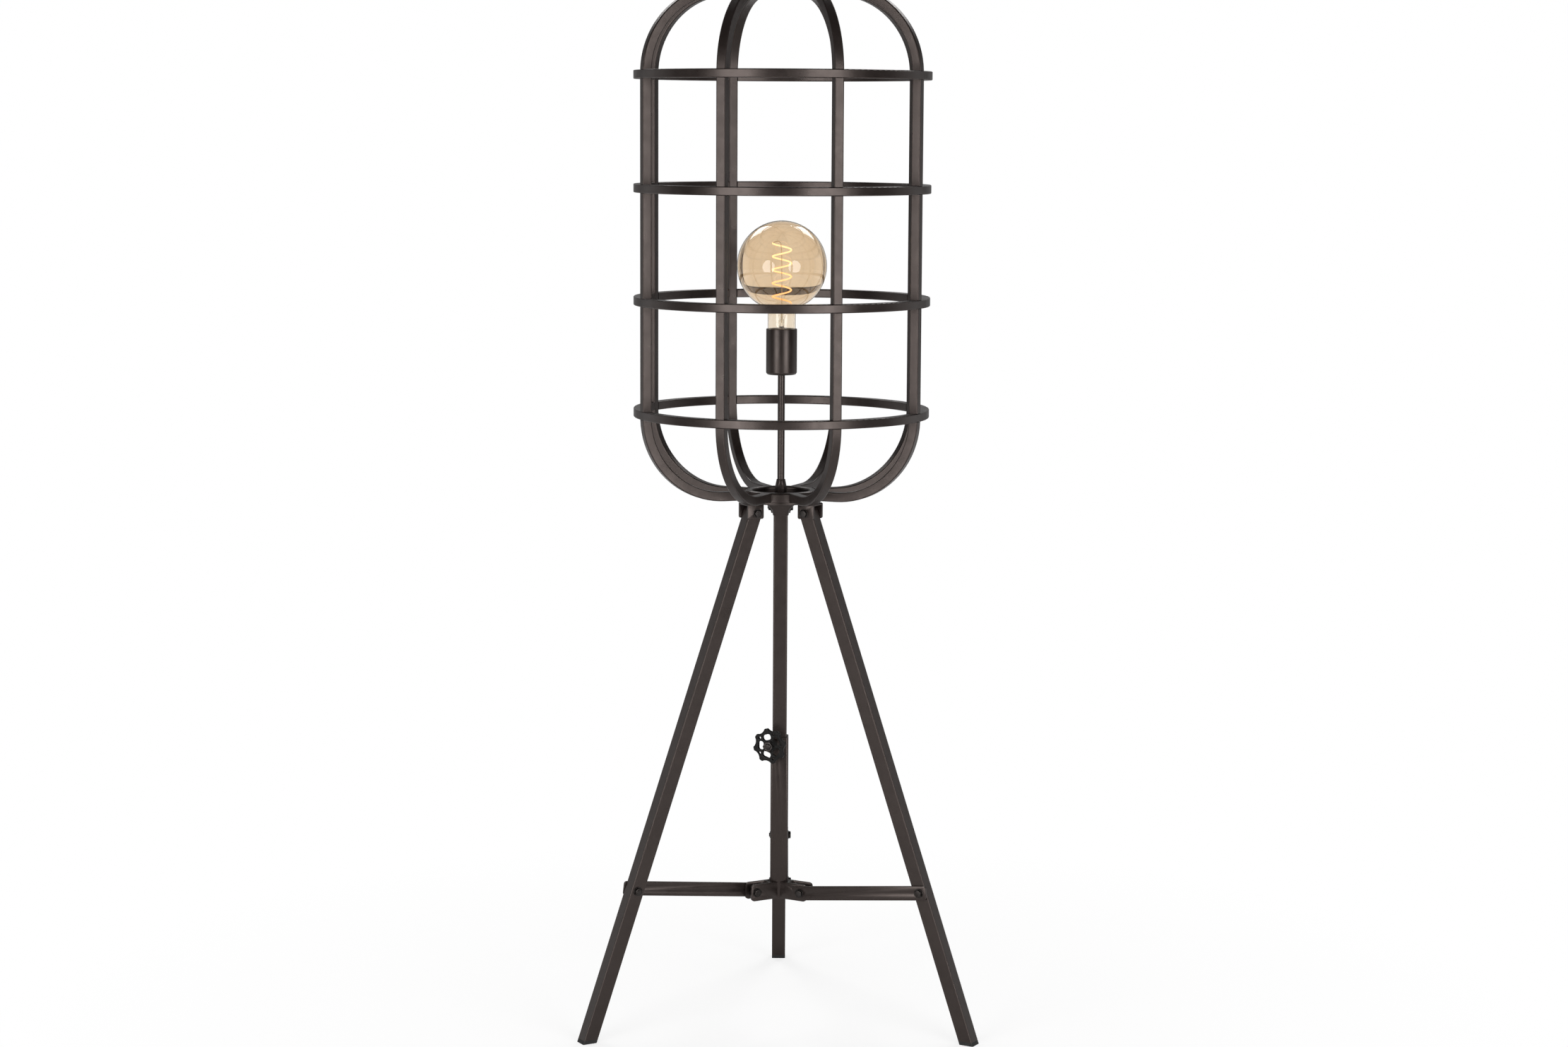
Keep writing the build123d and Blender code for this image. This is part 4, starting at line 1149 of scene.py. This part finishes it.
@dataclass
class Fasteners(Assembly):
    """Hexagon bolts with washers and nuts at the hinges of the legs and stays.

    hinge, lug and tip are the bolts' middles, as distance from the axis and height. The faces are the
    offsets of head and nut along the bolt.
    """

    LEG_ANGLES = (90.0, 210.0, 330.0)

    flats: float = 0.010
    land: float = 0.0042
    chip: float = 0.0002
    shank_radius: float = 0.003
    head_top: float = 0.0040
    nut_top: float = 0.0050
    end_shows: float = 0.001
    end_tall: float = 0.0018
    washer: float = 0.0008
    washer_radius: float = 0.0066
    cutter_width: float = 1.3
    cutter_slope: float = 0.5
    cutter_spare: float = 0.001
    pitch: float = 0.0010
    depth: float = 0.0004
    hinge: tuple[float, float] = (0.045, 0.723)
    hinge_faces: tuple[float, float] = (0.0136, -0.0136)
    lug: tuple[float, float] = (0.041, 0.182)
    lug_faces: tuple[float, float] = (0.0134, -0.010)
    tip: tuple[float, float] = (0.230785, 0.206400)
    leg_side: float = 0.010
    stay_face: float = 0.0134
    stay_back: float = 0.0104

    def __post_init__(self) -> None:
        """Make one head and one nut to copy."""
        self.chance = Random(11)
        self.head = self.hexagon("bolt_head_pattern", self.head_top)
        nut = self.hexagon("bolt_nut_pattern", self.nut_top - self.end_shows)
        end = Bench.thread("bolt_end", self.shank_radius, self.nut_top - self.end_tall, self.nut_top,
                           self.pitch, self.depth, steps=24, waves=6, solid=True)
        self.nut = Bench.join([nut, end])

    def hexagon(self, name: str, high: float) -> bpy.types.Object:
        """A chamfered hexagon on a washer, standing on the XY plane.

        Args:
            name: Name of the new object.
            high: Height of its top.

        Returns:
            The hexagon and its washer as one piece.
        """
        low = self.washer
        chip = self.chip
        corner = self.flats / sqrt(3)
        piece = Bench.drum(name, corner, low, high, sides=6)
        wide = corner * self.cutter_width
        drop = (wide - self.land) * self.cutter_slope
        under = low - self.cutter_spare
        limit = Bench.lathe("chamfer_cutter", [(0.0, under), (wide, under), (wide, high - drop),
                                               (self.land, high), (0.0, high)], steps=48, foot=ORIGIN)
        Bench.trim(piece, limit)
        Bench.soften(piece, chip, above=25)
        rim = self.washer_radius
        ring = Bench.lathe("washer_ring", [(0.0, 0.0), (rim, 0.0), (rim, low - chip), (rim - chip, low),
                                           (0.0, low)], steps=40, foot=ORIGIN)
        return Bench.join([piece, ring])

    def seat(self, place: Matrix, offset: float) -> Matrix:
        """The seat of a head or a nut, turned by chance.

        Args:
            place: Frame of the bolt's middle, with Z along the bolt.
            offset: Along the bolt, above 0 for a head and below 0 for a nut.

        Returns:
            Frame of the seat.
        """
        base = place @ Matrix.Translation((0, 0, offset))
        if offset < 0:
            base = base @ Matrix.Rotation(pi, 4, "X")
        return base @ Matrix.Rotation(self.chance.uniform(0, tau / 6), 4, "Z")

    def shank(self, name: str, place: Matrix, low: float, high: float) -> bpy.types.Object:
        """The bolt's plain shank.

        Args:
            name: Name of the new object.
            place: Frame of the bolt's middle.
            low: Offset of its lower end along the bolt.
            high: Offset of its upper end.

        Returns:
            The shank in its place.
        """
        rod = Bench.drum(name, self.shank_radius, low, high, sides=32)
        Bench.soften(rod, self.chip, segments=1)
        return Bench.put(rod, place)

    def whole(self, name: str, place: Matrix, near: float, far: float) -> bpy.types.Object:
        """A bolt with its head, shank and nut as one piece.

        Args:
            name: Name of the new object.
            place: Frame of the bolt's middle.
            near: Offset of its head.
            far: Offset of its nut.

        Returns:
            The bolt in its place.
        """
        head = Bench.twin(self.head, name, self.seat(place, near))
        nut = Bench.twin(self.nut, name + "_nut", self.seat(place, far))
        shank = self.shank(name + "_shank", place, far, near)
        return Bench.join([head, nut, shank])

    def build(self) -> None:
        """Fit every bolt."""
        groups = (("hinge_bolts", self.hinge, self.hinge_faces, "root", "leg_hinge_bolts"),
                  ("lug_bolts", self.lug, self.lug_faces, "sleeve", "stay_lug_bolts"))
        for name, middle, faces, body, node in groups:
            bolts = [self.whole(f"{name}_{count}", outward_frame(angle, *middle), *faces)
                     for count, angle in enumerate(self.LEG_ANGLES, 1)]
            self.hand_over(Bench.join(bolts, name), Slot.FASTENER, body, node, angle=30)
        halves = (("bolt", self.head, self.stay_face, self.stay_back, "stay"),
                  ("nut", self.nut, -self.leg_side, self.leg_side, "leg"))
        for count, angle in enumerate(self.LEG_ANGLES, 1):
            place = outward_frame(angle, *self.tip)
            for part, pattern, face, back, body in halves:
                name = f"tip_{part}_{count}"
                end = Bench.twin(pattern, name, self.seat(place, face))
                shank = self.shank(name + "_shank", place, min(face, back), max(face, back))
                self.hand_over(Bench.join([end, shank]), Slot.FASTENER, f"{body}_{count}",
                               f"stay_{part}_{count}", angle=30)
        Bench.drop(self.head, self.nut)


@dataclass
class Clamp(Assembly):
    """The threaded clamp screw that the handwheel turns."""

    turn: float = 246.0
    height: float = 0.3935
    start: float = 0.0128
    end: float = 0.043
    radius: float = 0.004
    pitch: float = 0.00125
    depth: float = 0.0007

    def build(self) -> None:
        """Cut the thread and lay the screw square to the sleeve's boss."""
        piece = Bench.thread("clamp_thread", self.radius, self.start, self.end, self.pitch,
                             self.depth, steps=32, waves=6, solid=True)
        laid = outward_frame(self.turn, 0.0, self.height) @ Matrix.Rotation(pi / 2, 4, "Y")
        Bench.put(piece, laid)
        self.hand_over(piece, Slot.FASTENER, "clamp_screw", "clamp_screw", angle=50)


# --- ironwork


@dataclass(frozen=True)
class Softened:
    """A welded or cut piece whose sharp edges are broken."""

    node: str
    name: str
    body: str
    slot: Slot
    edge: float
    above: float = 40.0


@dataclass
class Ironwork(Assembly):
    """Pieces of the frame with broken edges, and the weld beads between them."""

    PIECES = (
        Softened("base_plate", "cage_plate", "root", Slot.PAINT, 0.0004),
        Softened("stem_coupling", "stem_socket", "root", Slot.PAINT, 0.0004, 25.0),
        Softened("column_collar", "column_skirt", "root", Slot.PAINT, 0.0007),
        Softened("leg_brackets", "leg_hangers", "root", Slot.PAINT, 0.0006),
        Softened("cord_outlet_bush", "cord_grommet", "root", Slot.RUBBER, 0.0007),
        Softened("sleeve", "slide_tube", "sleeve", Slot.PAINT, 0.0004),
        Softened("clamp_boss", "clamp_socket", "sleeve", Slot.PAINT, 0.0006),
        Softened("stay_lugs", "hub_lugs", "sleeve", Slot.PAINT, 0.0005),
        Softened("handwheel", "clamp_wheel", "handwheel", Slot.WHEEL, 0.0004, 50.0),
        Softened("handwheel_nut", "wheel_nut", "handwheel", Slot.FASTENER, 0.0005),
        *(Softened(f"stay_{count}", f"stay_bar_{count}", f"stay_{count}", Slot.PAINT, 0.0007)
          for count in (1, 2, 3)),
    )

    bead_steps: int = 14
    bead_shake: float = 0.25
    lug_corners: Outline = ((0.0125, 0.00433), (-0.0125, 0.00433), (0.0102, 0.0125), (-0.0102, 0.0125))
    lug_low: float = 0.1712
    lug_high: float = 0.1928
    lug_bead: float = 0.0013
    plate_height: float = 0.7358
    plate_bead: float = 0.0011
    collar_half: float = 0.0222
    collar_run: float = 0.93
    collar_shift: float = 0.07
    bracket_near: float = 0.0365
    bracket_far: float = 0.0585
    bracket_half: float = 0.0138

    def bead(self, name: str, points: Sequence[Vector], radius: float,
             chance: Random) -> bpy.types.Object:
        """One run of weld, its line a little uneven.

        Args:
            name: Name of the new object.
            points: Its start and its end.
            radius: Half its thickness.
            chance: Where the unevenness is drawn from.

        Returns:
            The bead.
        """
        start, end = points
        shake = radius * self.bead_shake
        line = [start.lerp(end, step / self.bead_steps) +
                Vector([chance.uniform(-shake, shake) for _ in range(3)])
                for step in range(self.bead_steps + 1)]
        return Bench.rod(name, line, radius)

    def lug_welds(self) -> None:
        """The upright welds between the sleeve and the lugs' cheeks."""
        chance = Random(5)
        beads = []
        for count, (x, y) in enumerate(self.lug_corners):
            ends = [AXIS + Vector((x, y, height)) for height in (self.lug_low, self.lug_high)]
            beads.append(self.bead(f"lug_bead_{count}", ends, self.lug_bead, chance))
        self.hand_over(Bench.join(beads, "lug_welds"), Slot.PAINT, "sleeve", angle=60)

    def plate_welds(self) -> None:
        """The welds of the column's collar and the leg brackets under the plate."""
        chance = Random(7)
        height = self.plate_height
        half = self.collar_half
        corners = [(half, half), (-half, half), (-half, -half), (half, -half), (half, half)]
        beads = []
        for count, (here, there) in enumerate(zip(corners, corners[1:])):
            ends = [AXIS + Vector((x * self.collar_run, y * self.collar_run, height))
                    for x, y in (here, there)]
            middle = Vector((*here, 0)) + Vector((*there, 0))
            shift = middle.normalized() * half * self.collar_shift
            beads.append(self.bead(f"collar_bead_{count}", [end + shift for end in ends],
                                   self.plate_bead, chance))
        for angle in Fasteners.LEG_ANGLES:
            for side in (-1, 1):
                ends = [outward_frame(angle, radius, height) @ Vector((0, 0, side * self.bracket_half))
                        for radius in (self.bracket_near, self.bracket_far)]
                beads.append(self.bead(f"bracket_bead_{angle:.0f}_{side}", ends, self.plate_bead, chance))
        self.hand_over(Bench.join(beads, "plate_welds"), Slot.PAINT, "root", angle=60)

    def build(self) -> None:
        """Break the edges, then lay the welds."""
        for job in self.PIECES:
            piece = Bench.recut(self.nodes[job.node], job.name, job.edge, job.above)
            self.hand_over(piece, job.slot, job.body, job.node, angle=35)
        self.lug_welds()
        self.plate_welds()


# --- studio


class Pane(Enum):
    """The outline of a soft light."""

    SQUARE = "RECTANGLE"
    ROUND = "ELLIPSE"


@dataclass(frozen=True)
class SoftBox:
    """A soft light: where it stands round the lamp, its size and its brightness."""

    name: str
    azimuth: float
    distance: float
    height: float
    width: float
    tall: float
    radiance: float
    aim: float = 0.9
    shape: Pane = Pane.SQUARE

    def hang(self) -> None:
        """Add the light, turned towards the lamp; azimuth 0 is the camera's side."""
        turn = radians(self.azimuth)
        out = Vector((sin(turn), -cos(turn), 0))
        place = AXIS + out * self.distance + Vector((0, 0, self.height))
        towards = AXIS + Vector((0, 0, self.aim)) - place
        Bench.clear()
        bpy.ops.object.light_add(type="AREA", location=place)
        lamp = bpy.context.object
        lamp.name = self.name
        lamp.rotation_euler = towards.to_track_quat("-Z", "Y").to_euler()
        lamp.data.shape = self.shape.value
        lamp.data.size = self.width
        lamp.data.size_y = self.tall
        area = self.width * self.tall * (pi / 4 if self.shape is Pane.ROUND else 1)
        lamp.data.energy = self.radiance * pi * area
        lamp.visible_camera = False
        lamp.visible_transmission = False


@dataclass(frozen=True)
class Viewpoint:
    """The photograph's camera, fitted to the lamp's outline."""

    distance: float = 4.387
    height: float = 1.264
    pitch: float = 7.265
    yaw: float = 0.061
    roll: float = 0.30
    focal_pixels: float = 4465.0
    image_width: float = 2220.0
    sensor: float = 36.0
    reach: float = 60.0

    def set_up(self) -> None:
        """Create the camera and make it the scene's."""
        Bench.clear()
        bpy.ops.object.camera_add(location=AXIS + Vector((0, -self.distance, self.height)))
        camera = bpy.context.object
        camera.name = "photo_camera"
        turned = Matrix.Rotation(-radians(self.yaw), 4, "Z")
        tipped = Matrix.Rotation(radians(90 - self.pitch), 4, "X")
        rolled = Matrix.Rotation(radians(self.roll), 4, "Z")
        camera.matrix_world = Matrix.Translation(camera.location) @ turned @ tipped @ rolled
        camera.data.sensor_width = self.sensor
        camera.data.lens = self.focal_pixels / self.image_width * self.sensor
        camera.data.clip_end = self.reach
        bpy.context.scene.camera = camera


@dataclass(frozen=True)
class Studio:
    """White surroundings, a pale floor and soft lights on both sides."""

    boxes: tuple[SoftBox, ...] = (
        SoftBox("front_left_box", -34.5, 4.0, 1.0, 2.3, 2.3, 6.0, shape=Pane.ROUND),
        SoftBox("front_right_box", 32.5, 4.0, 1.0, 2.3, 2.3, 6.0, shape=Pane.ROUND),
        SoftBox("left_wall", -112, 3.0, 0.9, 2.2, 1.8, 0.5),
        SoftBox("right_wall", 112, 3.0, 0.9, 2.2, 1.8, 0.45),
        SoftBox("back_left_box", 150, 3.2, 3.6, 1.6, 1.6, 5.0),
        SoftBox("back_right_box", -150, 3.2, 3.6, 1.6, 1.6, 5.0),
    )
    dim: float = 0.05
    bright: float = 0.36
    fill: float = 0.30
    floor_span: float = 9.0
    floor_lift: float = 0.24
    floor_fade: float = 0.60
    floor_tone: tuple[float, float, float] = (0.92, 0.92, 0.92)
    fade_start: float = 0.25
    fade_end: float = 1.1
    behind_start: float = 0.70
    behind_end: float = 1.0

    def world(self) -> None:
        """White for the camera and through glass; for gloss, bright only straight behind the lamp."""
        world = bpy.data.worlds.new("studio_world")
        bpy.context.scene.world = world
        world.use_nodes = True
        graph = Graph(world.node_tree)
        place = graph.add("ShaderNodeTexCoord").outputs["Generated"]
        glossy = graph.add("ShaderNodeLightPath").outputs["Is Glossy Ray"]
        grade = graph.spread(graph.part(place, "Y"), self.dim, self.bright, self.behind_start,
                             self.behind_end)
        ground = world.node_tree.nodes["Background"]
        graph.join(graph.blend(graph.seen(), graph.blend(glossy, self.fill, grade), 1.0),
                   ground.inputs["Strength"])
        graph.join((1, 1, 1, 1), ground.inputs["Color"])

    def floor(self) -> None:
        """A pale floor that keeps the lamp's shadow and fades out to white around it."""
        Bench.clear()
        bpy.ops.mesh.primitive_circle_add(vertices=96, radius=self.floor_span, fill_type="NGON",
                                          location=AXIS)
        piece = bpy.context.object
        piece.name = "studio_floor"
        recipe = Recipe("studio_floor")
        recipe.set(Base_Color=(*self.floor_tone, 1.0), Roughness=0.9, Specular_IOR_Level=0.1)
        seen = recipe.seen()
        lift = recipe.add("ShaderNodeEmission")
        recipe.join(recipe.math("MULTIPLY", seen, self.floor_lift), lift.inputs["Strength"])
        lifted = recipe.add("ShaderNodeAddShader")
        recipe.join(recipe.shader.outputs["BSDF"], lifted.inputs[0])
        recipe.join(lift.outputs["Emission"], lifted.inputs[1])
        length = recipe.add("ShaderNodeVectorMath", operation="LENGTH")
        recipe.join(recipe.place, length.inputs[0])
        away = recipe.spread(length.outputs["Value"], self.floor_fade, 1.0, self.fade_start,
                             self.fade_end)
        white = recipe.add("ShaderNodeEmission")
        mixed = recipe.add("ShaderNodeMixShader")
        recipe.join(recipe.math("MULTIPLY", away, seen), mixed.inputs[0])
        recipe.join(lifted.outputs["Shader"], mixed.inputs[1])
        recipe.join(white.outputs["Emission"], mixed.inputs[2])
        output = recipe.tree.nodes["Material Output"]
        recipe.join(mixed.outputs["Shader"], output.inputs["Surface"])
        piece.data.materials.append(recipe.material)

    def set_up(self) -> None:
        """Build the surroundings and hang the lights."""
        bpy.context.scene.view_settings.view_transform = "Standard"
        self.world()
        self.floor()
        for box in self.boxes:
            box.hang()


def main() -> None:
    """Load the frame, dress it, add the finer pieces and set up the studio."""
    logging.basicConfig(level=logging.INFO, format="%(name)s: %(message)s")
    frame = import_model()
    Bench.clear()
    Viewpoint().set_up()
    finishes = Finishes()
    finishes.dress_frame(frame["nodes"])
    for assembly in (Ironwork, Fasteners, Clamp, Lampholder, Bulb):
        assembly(frame["nodes"], finishes).build()
    Studio().set_up()


if __name__ == "__main__":
    main()
